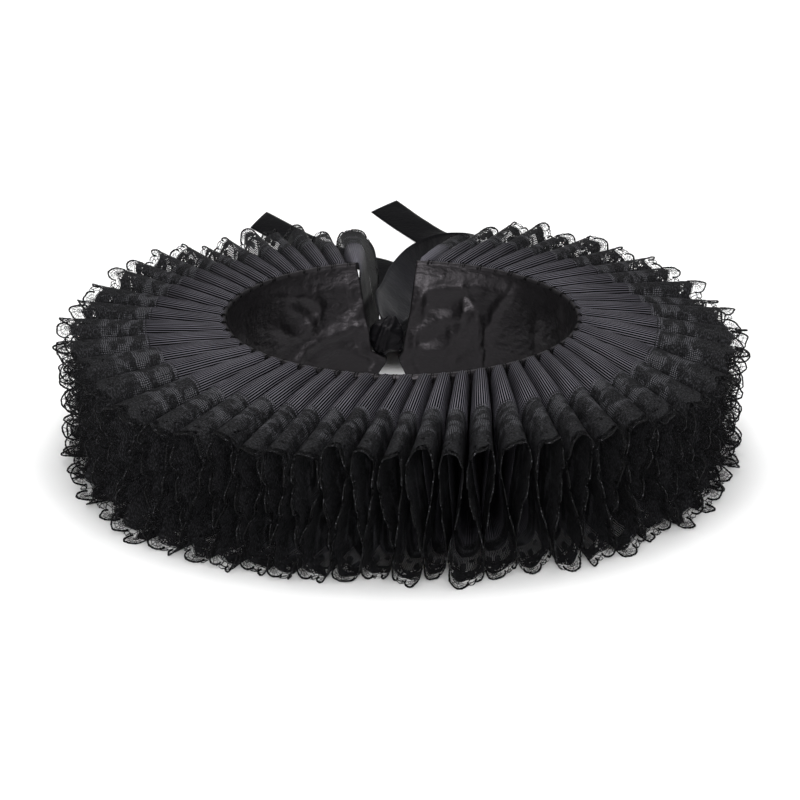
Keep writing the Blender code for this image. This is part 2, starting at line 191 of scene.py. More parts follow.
def colour_setting(name, description, default):
    return bpy.props.FloatVectorProperty(
        name=name, description=description, default=default, subtype="COLOR"
    )


class RuffClothSettings(bpy.types.PropertyGroup):
    rib_pitch: length_setting("Rib pitch", "Distance from rib to rib of the cloth", 0.85 * MM)
    rib_height: length_setting("Rib height", "How far the ribs stand up", 0.42 * MM)
    thickness: length_setting("Thickness", "Thickness of the cloth in the grooves", 0.34 * MM)
    colour: colour_setting("Colour", "Colour of the ribbed cloth", (0.034, 0.0328, 0.0385))


class RuffLaceSettings(bpy.types.PropertyGroup):
    scallop: length_setting("Scallop", "Length of one scallop of the edge", 11.4 * MM)
    mesh_size: length_setting("Net mesh", "Side of one hole of the net", 0.75 * MM)
    cord_radius: length_setting("Cord radius", "Radius of the cord along the edge", 0.33 * MM)
    thread_radius: length_setting("Thread radius", "Radius of the finer threads", 0.10 * MM)
    colour: colour_setting("Colour", "Colour of the lace", (0.0060, 0.0060, 0.0066))


class RuffSatinSettings(bpy.types.PropertyGroup):
    wall: length_setting("Wall", "Thickness of the satin stand", 1.2 * MM)
    ribbon_wall: length_setting("Ribbon wall", "Thickness of the ribbons", 0.4 * MM)
    colour: colour_setting("Stand colour", "Colour of the satin stand", (0.0029, 0.0027, 0.0030))
    ribbon_colour: colour_setting("Ribbon colour", "Colour of the ribbons", (0.0038, 0.0038, 0.0045))


class RuffStageSettings(bpy.types.PropertyGroup):
    floor_colour: colour_setting("Floor colour", "Colour of the floor", (0.90, 0.90, 0.90))
    camera_elevation: bpy.props.FloatProperty(
        name="Camera elevation",
        description="Angle of the camera above the table",
        default=math.radians(20.46),
        subtype="ANGLE",
    )
    camera_distance: length_setting("Camera distance", "From the camera to the middle of the neck", 1.1)


# ---------------------------------------------------------------- meshes


def add_mesh(name, points, faces, coordinates, material):
    """An object from points, a list of arrays of equal faces, and each point's place on the cloth."""
    mesh = bpy.data.meshes.new(name)
    corners = np.concatenate([group.ravel() for group in faces]).astype(np.int32)
    sizes = np.concatenate([np.full(len(group), group.shape[1], np.int32) for group in faces])
    starts = np.concatenate([[0], np.cumsum(sizes)[:-1]]).astype(np.int32)
    mesh.vertices.add(len(points))
    mesh.vertices.foreach_set("co", np.ascontiguousarray(points, np.float32).ravel())
    mesh.loops.add(len(corners))
    mesh.loops.foreach_set("vertex_index", corners)
    mesh.polygons.add(len(sizes))
    mesh.polygons.foreach_set("loop_start", starts)
    mesh.update(calc_edges=True)
    mesh.validate()
    layer = mesh.uv_layers.new(name="cloth")
    used = np.zeros(len(mesh.loops), np.int32)
    mesh.loops.foreach_get("vertex_index", used)
    layer.data.foreach_set("uv", np.asarray(coordinates, np.float32)[used].ravel())
    mesh.shade_smooth()
    mesh.materials.append(material)
    piece = bpy.data.objects.new(name, mesh)
    bpy.context.scene.collection.objects.link(piece)
    return piece


def carry(piece, node=None):
    """Lets a piece ride on the collar, in the place of a node if it has one."""
    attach(piece, "root")
    if node:
        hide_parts(node)


def grid_quads(columns, rows):
    """Quads of a grid whose points run row by row inside each column."""
    a = (np.arange(columns - 1)[:, None] * rows + np.arange(rows - 1)).ravel()
    return np.stack([a, a + rows, a + rows + 1, a + 1], -1)


def shell(name, front, back, coordinates, material, back_shift=0.0):
    """A closed thin shell between two grids of points (columns, rows, 3).

    back_shift moves the back side's coordinates across the cloth, so that a material can tell it apart.
    """
    columns, rows = front.shape[:2]
    points = np.concatenate([front.reshape(-1, 3), back.reshape(-1, 3)])
    count = columns * rows
    quads = grid_quads(columns, rows)
    index = np.arange(count).reshape(columns, rows)
    border = np.concatenate([index[:-1, 0], index[-1, :-1], index[:0:-1, -1], index[0, :0:-1]])
    beside = np.roll(border, -1)
    rim = np.stack([beside, border, border + count, beside + count], -1)
    coordinates = coordinates.reshape(-1, 2)
    both = np.concatenate([coordinates, coordinates + (0.0, back_shift)])
    return add_mesh(name, points, [quads, quads[:, ::-1] + count, rim], both, material)


def unit(vectors):
    return vectors / np.maximum(np.linalg.norm(vectors, axis=-1, keepdims=True), 1e-12)


def lengths_along(paths):
    """The length of each path up to each of its points."""
    steps = np.linalg.norm(np.diff(paths, axis=-2, prepend=paths[..., :1, :]), axis=-1)
    return np.cumsum(steps, axis=-1)


class TubeBag:
    """Collects thin tubes, many at a time, and joins them into one mesh."""

    def __init__(self):
        self.points, self.faces, self.coordinates, self.count = [], {}, [], 0

    def add(self, paths, normals, radii, sides):
        """paths and normals are (tubes, steps, 3), radii is a number or broadcasts to (tubes, steps)."""
        tubes, steps = paths.shape[:2]
        runs = unit(np.gradient(paths, axis=1))
        across = unit(np.cross(runs, normals))
        upright = unit(np.cross(across, runs))
        turn = FULL_TURN * (np.arange(sides) + 0.5) / sides
        spread = np.broadcast_to(radii, (tubes, steps))[..., None, None]
        out = upright[:, :, None] * np.cos(turn)[:, None] + across[:, :, None] * np.sin(turn)[:, None]
        rings = paths[:, :, None] + spread * out
        first = self.count + np.arange(tubes)[:, None, None] * steps * sides
        step = np.arange(steps - 1)[None, :, None] * sides
        side, beside = np.arange(sides), (np.arange(sides) + 1) % sides
        a, b = first + step + side, first + step + beside
        self.faces.setdefault(4, []).append(np.stack([a, a + sides, b + sides, b], -1).reshape(-1, 4))
        caps = self.count + np.arange(tubes)[:, None] * steps * sides + side
        self.faces.setdefault(sides, []).append(caps)
        self.faces.setdefault(sides, []).append((caps + (steps - 1) * sides)[:, ::-1])
        flat = np.broadcast_to(lengths_along(paths)[:, :, None], (tubes, steps, sides))
        round_it = np.broadcast_to(np.arange(sides) / sides * MM, flat.shape)
        self.coordinates.append(np.stack([flat, round_it], -1).reshape(-1, 2))
        self.points.append(rings.reshape(-1, 3))
        self.count += tubes * steps * sides

    def make(self, name, material):
        faces = [group for size in sorted(self.faces) for group in self.faces[size]]
        points, coordinates = np.concatenate(self.points), np.concatenate(self.coordinates)
        return add_mesh(name, points, faces, coordinates, material)


# ---------------------------------------------------------------- the pleated strip


def neck_azimuth(along):
    return NECK_TURN + HALF_SPREAD * along - NECK_BUNCH * math.sin(FULL_TURN * along)


def pleat_knots():
    """Rows of neck azimuth, edge azimuth, rise, foot reach, top reach and top height along the strip."""
    draw, bow_draw = random.Random(UNEVEN_SEED), random.Random(UNEVEN_SEED + 1)
    feet = [(foot, reach) for foot, _, reach, _ in PLEAT_PLACES] + [LAST_FOOT_PLACE]
    tops = [
        (math.radians(top), draw.uniform(-1, 1) * UNEVEN_TOP_REACH, height * MM)
        for _, top, _, height in PLEAT_PLACES
    ]
    knots = []
    for half_pleat in range(2 * PLEATS):
        pleat, falls = divmod(half_pleat, 2)
        foot, foot_reach = math.radians(feet[pleat + falls][0]), feet[pleat + falls][1] * MM
        top, top_reach, top_height = tops[pleat]
        foot_along = 2 * (pleat + falls) / PLEATS - 1
        top_along = (2 * pleat + 1) / PLEATS - 1
        lean, bow = draw.uniform(-1, 1) * UNEVEN_SHARE, bow_draw.uniform(-1, 1)
        section = []
        for (rise, neck_share, edge_share, uneven), end_wall in zip(PLEAT_SECTION, END_WALLS):
            edge_share += lean * math.sin(math.pi * rise) + bow * uneven * math.sin(FULL_TURN * rise)
            if half_pleat in (0, 2 * PLEATS - 1):
                neck_share, edge_share = end_wall[falls], end_wall[2 + falls]
            neck = neck_azimuth(foot_along + (top_along - foot_along) * neck_share)
            edge = foot + (top - foot) * edge_share
            section.append((neck, edge, rise, foot_reach, top_reach, top_height))
        knots += section[::-1] if falls else section
    return np.array(knots)


class PleatedStrip:
    """The strip's middle surface. Its spots are lengths along the section at half the strip's depth."""

    def __init__(self):
        self.rows = pleat_knots()
        azimuth = (self.rows[:, 0] + self.rows[:, 1]) / 2
        mean_radius = (NECK_RADIUS + OUTER_RADIUS_TOP) / 2
        height = self.rows[:, 2] * (STAND_HEIGHT + EDGE_HEIGHT) / 2
        self.knots = lengths_along(np.stack([azimuth * mean_radius, height], 1))
        steps = np.diff(self.knots)[:, None]
        slopes = np.diff(self.rows, axis=0) / steps
        self.slopes = np.zeros_like(self.rows)
        weighted = slopes[1:] * steps[:-1] + slopes[:-1] * steps[1:]
        self.slopes[1:-1] = weighted / (steps[1:] + steps[:-1])
        self.fine = np.linspace(0.0, self.knots[-1], FINE_SPOTS)
        middle = len(self.knots) // 2
        self.middle = (self.knots[middle - 1] + self.knots[middle]) / 2

    def read(self, spots):
        """The rows at these spots, read from a smooth curve through the knots."""
        span = np.clip(np.searchsorted(self.knots, spots, side="right") - 1, 0, len(self.knots) - 2)
        step = self.knots[span + 1] - self.knots[span]
        t = ((spots - self.knots[span]) / step)[..., None]
        a, b = self.rows[span], self.rows[span + 1]
        start, end = self.slopes[span] * step[..., None], self.slopes[span + 1] * step[..., None]
        curve = a * (2 * t**3 - 3 * t**2 + 1) + start * (t**3 - 2 * t**2 + t)
        return curve + b * (3 * t**2 - 2 * t**3) + end * (t**3 - t**2)

    def place(self, spots, reach):
        """Points of the middle surface. spots and reach have the same shape."""
        neck, edge, rise, foot_reach, top_reach, top_height = np.moveaxis(self.read(spots), -1, 0)
        rise = np.clip(rise, 0.0, None)
        foot_radius, top_radius = OUTER_RADIUS_FOOT + foot_reach, OUTER_RADIUS_TOP + top_reach
        radius = foot_radius + (top_radius - foot_radius) * rise - OUTER_HOLLOW * np.sin(np.pi * rise)
        x = NECK_RADIUS * np.sin(neck) * (1 - reach) + radius * np.sin(edge) * reach
        y = -NECK_RADIUS * np.cos(neck) * (1 - reach) - radius * np.cos(edge) * reach
        edge_height = EDGE_HEIGHT - EDGE_DROOP * np.cos(edge) + top_height
        height = STAND_HEIGHT + (edge_height - STAND_HEIGHT) * np.clip(reach, 0.0, None) ** TOP_SAG
        z = STRIP_LIFT + (height - 2 * STRIP_LIFT) * rise
        return np.stack([x + AXIS.x, y + AXIS.y, z], -1)

    def surface(self, spots, reach, lift=0.0):
        """Points and face-side normals, with the cloth's soft waves, moved out by lift."""
        spots, reach = np.broadcast_arrays(np.asarray(spots, float), np.asarray(reach, float))
        along = self.place(spots + NORMAL_STEP, reach) - self.place(spots - NORMAL_STEP, reach)
        share = NORMAL_STEP / STRIP_DEPTH
        out = self.place(spots, reach + share) - self.place(spots, reach - share)
        normal = unit(np.cross(out, along))
        points = self.place(spots, reach) + normal * (self.waves(spots, reach) + lift)[..., None]
        points[..., 2] = np.maximum(points[..., 2], LOWEST_POINT)
        return points, normal

    @staticmethod
    def waves(spots, reach):
        """Soft unevenness of hand-set cloth, growing towards the free edge."""
        loose = SEWN_WAVE + (1 - SEWN_WAVE) * np.clip(reach, 0.0, 1.0) ** 2
        wave = 0.0
        for length, depth, lean, start in SOFT_WAVES:
            wave = wave + depth * np.sin(FULL_TURN * spots / length + lean * reach + start)
        return loose * wave

    def edge_lengths(self):
        """The length along the lace's outer edge up to each fine spot."""
        return lengths_along(self.place(self.fine, np.ones_like(self.fine)))


# Waves of the strip: a long one that bows whole walls, and shorter ones that ruffle the lace
SOFT_WAVES = (
    # length, depth, lean in radians over the strip's depth, start in radians
    (0.0710, 0.00030, 0.8, 0.4),
    (0.0313, 0.00016, -1.7, 2.1),
    (0.0137, 0.00005, 3.1, 4.0),
    (0.0071, 0.00002, -4.0, 1.0),
)

SEWN_WAVE = 0.10  # share of the waves that is left at the neck, where the strip is sewn on

STRIP = PleatedStrip()


def side_spots(side):
    """First and last spot of the left or the right length of the strip."""
    return (0.0, STRIP.middle) if side == "left" else (STRIP.middle, STRIP.knots[-1])


# ---------------------------------------------------------------- materials


def maths(operation):
    """A method of Socket that adds a Math node."""

    def method(self, *others):
        values = dict(enumerate((self, *others)))
        return self.graph.node("ShaderNodeMath", {"operation": operation}, values)[0]

    return method


class Socket:
    """A number of a material's graph. Python's operators add Math nodes."""

    def __init__(self, graph, socket):
        self.graph, self.socket = graph, socket

    __add__ = __radd__ = maths("ADD")
    __mul__ = __rmul__ = maths("MULTIPLY")
    __sub__ = maths("SUBTRACT")
    __truediv__ = maths("DIVIDE")
    __pow__ = maths("POWER")
    sine = maths("SINE")
    cosine = maths("COSINE")
    arctangent = maths("ARCTAN2")
    absolute = maths("ABSOLUTE")
    fraction = maths("FRACT")
    most = maths("MAXIMUM")

    def __rsub__(self, other):
        return (self * -1.0) + other

    def below(self, edge, softness):
        """1 where this is under the edge and 0 above it, with a soft step."""
        return self.graph.node(
            "ShaderNodeMapRange",
            {"interpolation_type": "SMOOTHSTEP"},
            {0: self, 1: edge - softness, 2: edge + softness, 3: 1.0, 4: 0.0},
        )[0]

    def above(self, edge, softness):
        return 1.0 - self.below(edge, softness)

    def off_middle(self, pitch):
        """How far this is from the middle of its own repeat of this pitch."""
        return ((self / pitch).fraction() - 0.5) * pitch


class Graph:
    """A material or world whose nodes are added in words: numbers and links in, Sockets out."""

    def __init__(self, owner, shader="Principled BSDF"):
        owner.use_nodes = True
        self.owner, self.tree = owner, owner.node_tree
        self.shader = self.tree.nodes[shader]

    def node(self, kind, settings=None, values=None):
        """Adds a node with its settings, then sets or links its sockets, and returns its outputs."""
        made = self.tree.nodes.new(kind)
        for key, value in (settings or {}).items():
            setattr(made, key, value)
        for key, value in (values or {}).items():
            self.set(made.inputs[key], value)
        return [Socket(self, output) for output in made.outputs]

    def set(self, socket, value):
        if isinstance(value, Socket):
            self.tree.links.new(value.socket, socket)
        else:
            socket.default_value = value

    def place(self):
        """The place on the object, in metres."""
        return self.node("ShaderNodeTexCoord")[3]

    def distance(self, point):
        values = {0: self.place(), 1: point}
        return self.node("ShaderNodeVectorMath", {"operation": "DISTANCE"}, values)[1]

    def cloth_place(self):
        """The two coordinates on the cloth, in millimetres."""
        (place,) = self.node("ShaderNodeUVMap", {"uv_map": "cloth"})
        along, across, _ = self.node("ShaderNodeSeparateXYZ", values={0: place})
        return along * (1 / MM), across * (1 / MM)

    def texture(self, kind, place, settings, **values):
        values = {key.replace("_", " "): value for key, value in values.items()}
        return self.node(kind, settings, {"Vector": place, "Scale": 1.0, **values})[0]

    def noise(self, size, detail=2.0):
        """Noise from 0 to 1 with features of this size in metres."""
        values = {"Vector": self.place(), "Scale": (1 / size,) * 3}
        (scaled,) = self.node("ShaderNodeMapping", values=values)
        return self.texture("ShaderNodeTexNoise", scaled, {"noise_dimensions": "3D"}, Detail=detail)

    def on_cloth(self, along, across, size_along, size_across):
        values = {0: along * (1 / size_along), 1: across * (1 / size_across)}
        return self.node("ShaderNodeCombineXYZ", values=values)[0]

    def flat_noise(self, size, along, across, detail=2.0):
        """Noise on the cloth's coordinates, with features of this length and width in millimetres."""
        place = self.on_cloth(along, across, *size)
        return self.texture("ShaderNodeTexNoise", place, {"noise_dimensions": "2D"}, Detail=detail)

    def crossed_bars(self, size, along, across):
        """Distance in millimetres to the nearest bar of a ground with holes of about this size."""
        place = self.on_cloth(along, across, size, size)
        settings = {"voronoi_dimensions": "2D", "feature": "DISTANCE_TO_EDGE"}
        return self.texture("ShaderNodeTexVoronoi", place, settings) * size

    def mix(self, share, low, high):
        """A colour between two, by a share."""
        low, high = (end if isinstance(end, Socket) else (*end, 1.0) for end in (low, high))
        return self.node("ShaderNodeMix", {"data_type": "RGBA"}, {"Factor": share, 6: low, 7: high})[2]

    def bump(self, height, distance, strength=1.0, **values):
        values = {"Height": height, "Distance": distance, "Strength": strength, **values}
        return self.node("ShaderNodeBump", values=values)[0]

    def finish(self, **values):
        """Sets the shader's sockets by name, with _ for a space."""
        for key, value in values.items():
            self.set(self.shader.inputs[key.replace("_", " ")], value)
        return self.owner


def shade(colour, share):
    """A colour made darker or lighter."""
    return tuple(channel * share for channel in colour)


WRONG_SIDE = 10.0  # how far the coordinates of the cloth's wrong side are moved, in metres
END_SHADE_LENGTH = 46.0  # length of the strip's end that is darkened as painted shade, in millimetres
FOOT_SHADE = 0.018  # height up to which the foot loops are darkened near the table, a painted shade
WEAVE_PITCH = 0.34  # from thread to thread of the cloth, in millimetres
# Shares of the cloth's colour: painted shade in the grooves, a painted highlight on the crests, painted
# shade on the wrong side, the feet and the strip's end, and a lighter end pleat
CLOTH_SHADES = {
    "groove": 0.01,
    "crest": 3.4,
    "bright crest": 4.9,
    "wrong side": 0.3,
    "end pleat": 3.4,
    "painted end shade": 0.03,
}


def ribbed_cloth(settings):
    """Corded cloth with a fine weave across the ribs, with painted shade in the grooves and a painted
    highlight on the rib backs.
    """
    graph = Graph(bpy.data.materials.new("ribbed_cloth"))
    along, across = graph.cloth_place()
    shades = {part: shade(settings.colour, share) for part, share in CLOTH_SHADES.items()}
    rib = (along * (FULL_TURN / (settings.rib_pitch / MM))).cosine() * -0.5 + 0.5
    weave = (across * (FULL_TURN / WEAVE_PITCH)).sine()
    patches = graph.flat_noise((7.0, 20.0), along, across).above(0.5, 0.3)
    slubs = graph.flat_noise((0.8, 16.0), along, across, detail=3.0)
    # the rib pattern paints shade into each groove and a highlight onto each crest
    crest = graph.mix(patches, shades["crest"], shades["bright crest"])
    tone = graph.mix(rib**5.0 * (slubs * 0.9 + 0.75), shades["groove"], crest)

    # painted shade on the wrong side and on the feet near the table, a lighter pleat beside the strip's
    # end, and painted shade over the strip's end
    height = graph.node("ShaderNodeSeparateXYZ", values={0: graph.place()})[2]
    painted_shade = across.above(WRONG_SIDE / MM / 2, 1.0).most(height.below(FOOT_SHADE, FOOT_SHADE * 0.6) * 0.8)
    tone = graph.mix(painted_shade * 0.85, tone, shades["wrong side"])
    end_pleat = along.above(END_SHADE_LENGTH + 4.0, 1.5) * along.below(END_SHADE_LENGTH + 17.0, 2.0)
    tone = graph.mix(end_pleat * (1.0 - painted_shade) * 0.6, tone, shades["end pleat"])
    # painted shade over the strip's end
    tone = graph.mix(along.below(END_SHADE_LENGTH, 4.0) * 0.96, tone, shades["painted end shade"])
    rough = 0.46 + slubs * 0.14 + weave * 0.03
    normal = graph.bump(weave * 0.3 + slubs, 0.04 * MM, 0.6)
    return graph.finish(Base_Color=tone, Roughness=rough, Normal=normal, Specular_IOR_Level=0.05)


# Widths across the lace, counted inwards from the tips of the scallops, in millimetres
TIP_REACH = 0.8
FAN_RADIUS = 4.1
FAN_CENTRE = 4.35
FAN_EYE = 1.0
WORK_START = 2.4
WAVE_MIDDLE = 6.3
WAVE_DEPTH = 1.3
WORK_END = 14.0
SPRIG_MIDDLE = 18.5
TAPE_START = 24.5
# Threads of the lace: half width and softness of the edge, in millimetres
FAN_THREADS = 9
FAN_RING = 2.2
FAN_THREAD = (0.075, 0.035)
RING_THREAD = (0.07, 0.04)
OPEN_HOLE, OPEN_BAR = 2.2, (0.18, 0.04)
CLOSE_HOLE, CLOSE_BAR = 1.20, (0.26, 0.05)
NET_PULL = 0.9
NET_THREAD = 0.42
NET_RELIEF = 0.3
NET_SOFTNESS = 0.04
# A sprig's parts: half width, half height and softness of the edge, then where they stand
LEAF_SIZE, DOT_SIZE = (1.3, 3.1, 0.12), (1.3, 1.3, 0.15)
LEAF_ASIDE, LEAF_DROP, LEAF_SLANT, DOT_RISE = 1.9, 2.4, 0.45, 2.6
# Shares of the lace's colour: the stitch and knot shares are painted highlights, and the strip's end is
# painted shade
LACE_SHADES = {"thread": 1.0, "stitch": 6.0, "knot": 22.0, "painted end shade": 0.4}


def net_lace(settings):
    """Fans of fine threads along the edge, close work of small holes behind them, then square net."""
    graph = Graph(bpy.data.materials.new("net_lace"))
    along, across = graph.cloth_place()
    shades = {part: shade(settings.colour, share) for part, share in LACE_SHADES.items()}
    scallop, mesh_size = settings.scallop / MM, settings.mesh_size / MM
    u = along + (graph.flat_noise((2.6, 2.6), along, across) - 0.5) * NET_PULL
    v = across + (graph.flat_noise((3.1, 3.1), along + 40.0, across) - 0.5) * NET_PULL

    # a fan in the middle of each repeat: radial threads, crossed by a ring
    local = along.off_middle(scallop)
    up = FAN_CENTRE - across
    spread = (local**2 + up**2) ** 0.5
    share = (local.arctangent(up) * (FAN_THREADS / FULL_TURN)).fraction() - 0.5
    fan = (share.absolute() * spread * (FULL_TURN / FAN_THREADS)).below(*FAN_THREAD)
    fan = fan.most((spread - FAN_RING).absolute().below(*RING_THREAD))
    in_fan = spread.below(FAN_RADIUS, 0.05)

    # between the fans and behind them: crossed bars round holes of no one shape, closer further in
    wave = (local * (FULL_TURN / scallop)).cosine()
    from_edge = across - (WAVE_MIDDLE - WAVE_DEPTH * wave)
    behind = from_edge.above(0.0, 0.15)
    open_bars = graph.crossed_bars(OPEN_HOLE, u, v).below(*OPEN_BAR)
    close_bars = graph.crossed_bars(CLOSE_HOLE, u, v).below(*CLOSE_BAR)
    further = from_edge.above(0.4, 0.3)
    patches = graph.flat_noise((3.4, 3.0), along + 90.0, across).above(0.38, 0.03)
    work = close_bars.most(patches) * further + open_bars * (1.0 - further)
    past_tips = across.above(WORK_START, 0.1)

    # square net, with a sprig of two leaves and a dot in each repeat
    def net(width):
        line_u, line_v = (
            place.off_middle(mesh_size).absolute().below(width / 2, NET_SOFTNESS) for place in (u, v)
        )
        return line_u.most(line_v)

    def spot(x, y, half_width, half_height, softness):
        return ((x / half_width) ** 2 + (y / half_height) ** 2).below(1.0, softness)

    leaf_up = across - SPRIG_MIDDLE + LEAF_DROP
    left_leaf = spot(local + LEAF_ASIDE, leaf_up + local * LEAF_SLANT, *LEAF_SIZE)
    right_leaf = spot(local - LEAF_ASIDE, leaf_up - local * LEAF_SLANT, *LEAF_SIZE)
    side = ((along / scallop + 0.5).fraction() - 0.5) * scallop
    dot = spot(side, across - SPRIG_MIDDLE - DOT_RISE, *DOT_SIZE)
    band = (across - WORK_END - wave * 0.9).absolute().below(0.55, 0.1)
    solid = left_leaf.most(right_leaf).most(dot).most(band)
    ground = net(NET_THREAD).most(solid)
    in_work = across.below(WORK_END, 0.3)
    in_tape = across.above(TAPE_START, 0.6)

    cover = (work * in_work + ground * (1.0 - in_work)).most(in_tape) * behind
    cover = cover.most(fan * in_fan).most(open_bars * past_tips * (1.0 - in_fan) * (1.0 - behind))
    cover = cover * in_fan.most(past_tips)
    # the lace over the strip's end is filled whole as a dark sheet of painted shade, and so is most of
    # the pleat beside it
    cover = cover.most(along.below(END_SHADE_LENGTH, 2.0) * across.above(1.0, 0.2))
    cover = cover.most(along.below(END_SHADE_LENGTH + 16.0, 2.0) * across.above(4.6, 0.4))

    # painted highlights on the net's knots, in bands near the cloth
    knots = (u.off_middle(mesh_size) ** 2 + v.off_middle(mesh_size) ** 2).below(0.035, 0.03)
    knot_highlight_bands = graph.flat_noise((9.0, 4.0), along + 30.0, across).above(0.52, 0.06)
    knot_highlight_bands = knot_highlight_bands * across.above(17.0, 1.5)
    stitches = graph.flat_noise((1.1, 0.36), u, v, detail=4.0).above(0.56, 0.07)
    # the lighter stitches are painted highlights
    painted_stitch_highlight = stitches * (0.35 + solid * 0.25 + patches * 0.4)
    tone = graph.mix(painted_stitch_highlight, shades["thread"], shades["stitch"])
    tone = graph.mix(knots * knot_highlight_bands, tone, shades["knot"])
    # painted shade over the strip's end
    tone = graph.mix(along.below(END_SHADE_LENGTH + 4.0, 4.0) * 0.9, tone, shades["painted end shade"])
    normal = graph.bump(net(NET_RELIEF) * 0.4 + stitches, 0.09 * MM, 0.9)
    values = {"Base_Color": tone, "Alpha": cover, "Normal": normal}
    return graph.finish(**values, Roughness=0.6, Specular_IOR_Level=0.06)


THREAD_TWIST = 0.7  # from groove to groove of a twisted thread, in millimetres


def twisted_thread(name, colour):
    """Dark thread or cord with the slanting grooves of its twist, a little painted shade along them, and
    bright specks that are painted glints.
    """
    graph = Graph(bpy.data.materials.new(name))
    along, round_it = graph.cloth_place()
    twist = ((along / THREAD_TWIST + round_it) * FULL_TURN).sine()
    fuzz = graph.noise(0.4 * MM, 3.0)
    painted_glints = graph.noise(0.55 * MM).above(0.64, 0.04)
    dark = graph.mix(twist * 0.25 + fuzz * 0.6, shade(colour, 0.15), shade(colour, 0.9))
    tone = graph.mix(painted_glints, dark, shade(colour, 11.0))
    normal = graph.bump(twist + fuzz, 0.05 * MM, 0.8)
    rough = 0.55 + fuzz * 0.15
    return graph.finish(Base_Color=tone, Roughness=rough, Normal=normal, Specular_IOR_Level=0.08)


SATIN_TINT = (1.0, 0.93, 1.0, 1.0)
WEFT_PITCH = 0.26  # from thread to thread of the satin, in millimetres
SATIN_CLOUDS = (9.1, 7.0)
SATIN_RUMPLES = (2.6, 1.9)
STAND_WRINKLE, RIBBON_WRINKLE = 0.55 * MM, 0.25 * MM
STAND_GLOSS, RIBBON_GLOSS, KNOT_GLOSS = 0.46, 0.045, 0.12
RIBBON_LIT_LENGTH = 100.0


def satin(name, colour, wrinkle, gloss, lit_length=0.0):
    """Satin: smooth, with float threads, faint weft lines and small soft wrinkles.

    lit_length is how far, in millimetres, from the knot on a ribbon's colour is lightened as a painted
    sheen.
    """
    graph = Graph(bpy.data.materials.new(name))
    along, across = graph.cloth_place()
    floats = graph.flat_noise((0.25, 3.0), along, across)
    weft = (across * (FULL_TURN / WEFT_PITCH)).sine()
    cloud = graph.flat_noise(SATIN_CLOUDS, along, across, detail=4.0)
    rumple = graph.flat_noise(SATIN_RUMPLES, along + 20.0, across, detail=3.0)
    tone = graph.mix(cloud * 0.7 + floats * 0.3, shade(colour, 0.7), shade(colour, 1.3))
    if lit_length:
        # a painted sheen on the ribbon near the knot
        pale = graph.mix(cloud, shade(colour, 2.8), shade(colour, 5.6))
        tone = graph.mix(along.below(lit_length, lit_length * 0.35), tone, pale)
    soft = graph.bump(cloud + rumple * 0.45, wrinkle)
    return graph.finish(
        Base_Color=tone,
        Roughness=0.32 + floats * 0.12 + cloud * 0.08,
        Normal=graph.bump(floats + weft * 0.15, 0.02 * MM, 0.6, Normal=soft),
        Specular_IOR_Level=gloss,
        Specular_Tint=SATIN_TINT,
    )


# ---------------------------------------------------------------- ribbed cloth

RIB_PROFILE = (0.0, 0.9, 0.9)  # height of a rib's points, the first in the groove
CLOTH_REACHES = (-0.014, 0.012, 0.22, 0.478)
NECK_ROLL = 0.9 * MM  # how far the cloth rolls down over the stand's rim


def make_cloth(side, settings, material):
    """One length of the ribbed strip: a closed shell with round ribs on both sides."""
    first, last = side_spots(side)
    ribs = int((last - first) / settings.rib_pitch)
    spots = np.linspace(first, last, ribs * len(RIB_PROFILE) + 1)
    rib = np.append(np.tile(RIB_PROFILE, ribs), RIB_PROFILE[0]) * settings.rib_height / 2
    reach = np.array(CLOTH_REACHES)
    grid_spots, grid_reach = np.meshgrid(spots, reach, indexing="ij")
    lift = settings.thickness / 2 + rib[:, None]
    front, back = (STRIP.surface(grid_spots, grid_reach, face * lift)[0] for face in (1, -1))
    for points in (front, back):
        points[..., 2] -= NECK_ROLL * (reach < 0) * points[..., 2] / STAND_HEIGHT
    from_end = grid_spots - first if side == "left" else last - grid_spots
    from_end = from_end * settings.rib_pitch * ribs / (last - first)
    coordinates = np.stack([from_end, grid_reach * STRIP_DEPTH], -1)
    piece = shell(f"ruffle_cloth_{side}", front, back, coordinates, material, WRONG_SIDE)
    carry(piece, f"cloth_ruffle_{side}")


class RUFF_OT_cloth(bpy.types.Operator):
    """Add the two lengths of pleated ribbed cloth"""

    bl_idname = "ruff.cloth"
    bl_label = "Ribbed Cloth"

    def execute(self, context):
        settings = context.scene.ruff_cloth
        material = ribbed_cloth(settings)
        for side in ("left", "right"):
            make_cloth(side, settings, material)
        return {"FINISHED"}


# ---------------------------------------------------------------- lace

NET_COLUMN = 0.9 * MM
NET_ROWS = 14
ROW_POWER = 1.25  # puts the rows closer together near the tips
LACE_OVERLAP = 1.2 * MM
LACE_LAP_LIFT = 0.42 * MM
LOOSE_WIDTH = 16 * MM  # how far from the tips the lace can be pulled out of line
# In front the scallops curl back by this share. The curl fades between these azimuths and rises.
FRONT_CURL = 0.55
CURL_START, CURL_END = math.radians(38.0), math.radians(72.0)
CURL_LOW, CURL_HIGH = 0.05, 0.20

# Small pulls that keep any two scallops from being the same
PULLS = (
    # length, pull along, pull across, start in radians
    (0.0193, 0.00040, 0.00046, 0.3),
    (0.0089, 0.00026, 0.00030, 2.2),
    (0.0051, 0.00014, 0.00012, 4.4),
    (0.0029, 0.00008, 0.00007, 1.1),
)
# How the pulls change over the lace's width, in radians a metre, and the step between the two kinds
ALONG_LEAN, ACROSS_LEAN, ACROSS_STEP = 170, 130, 1.31


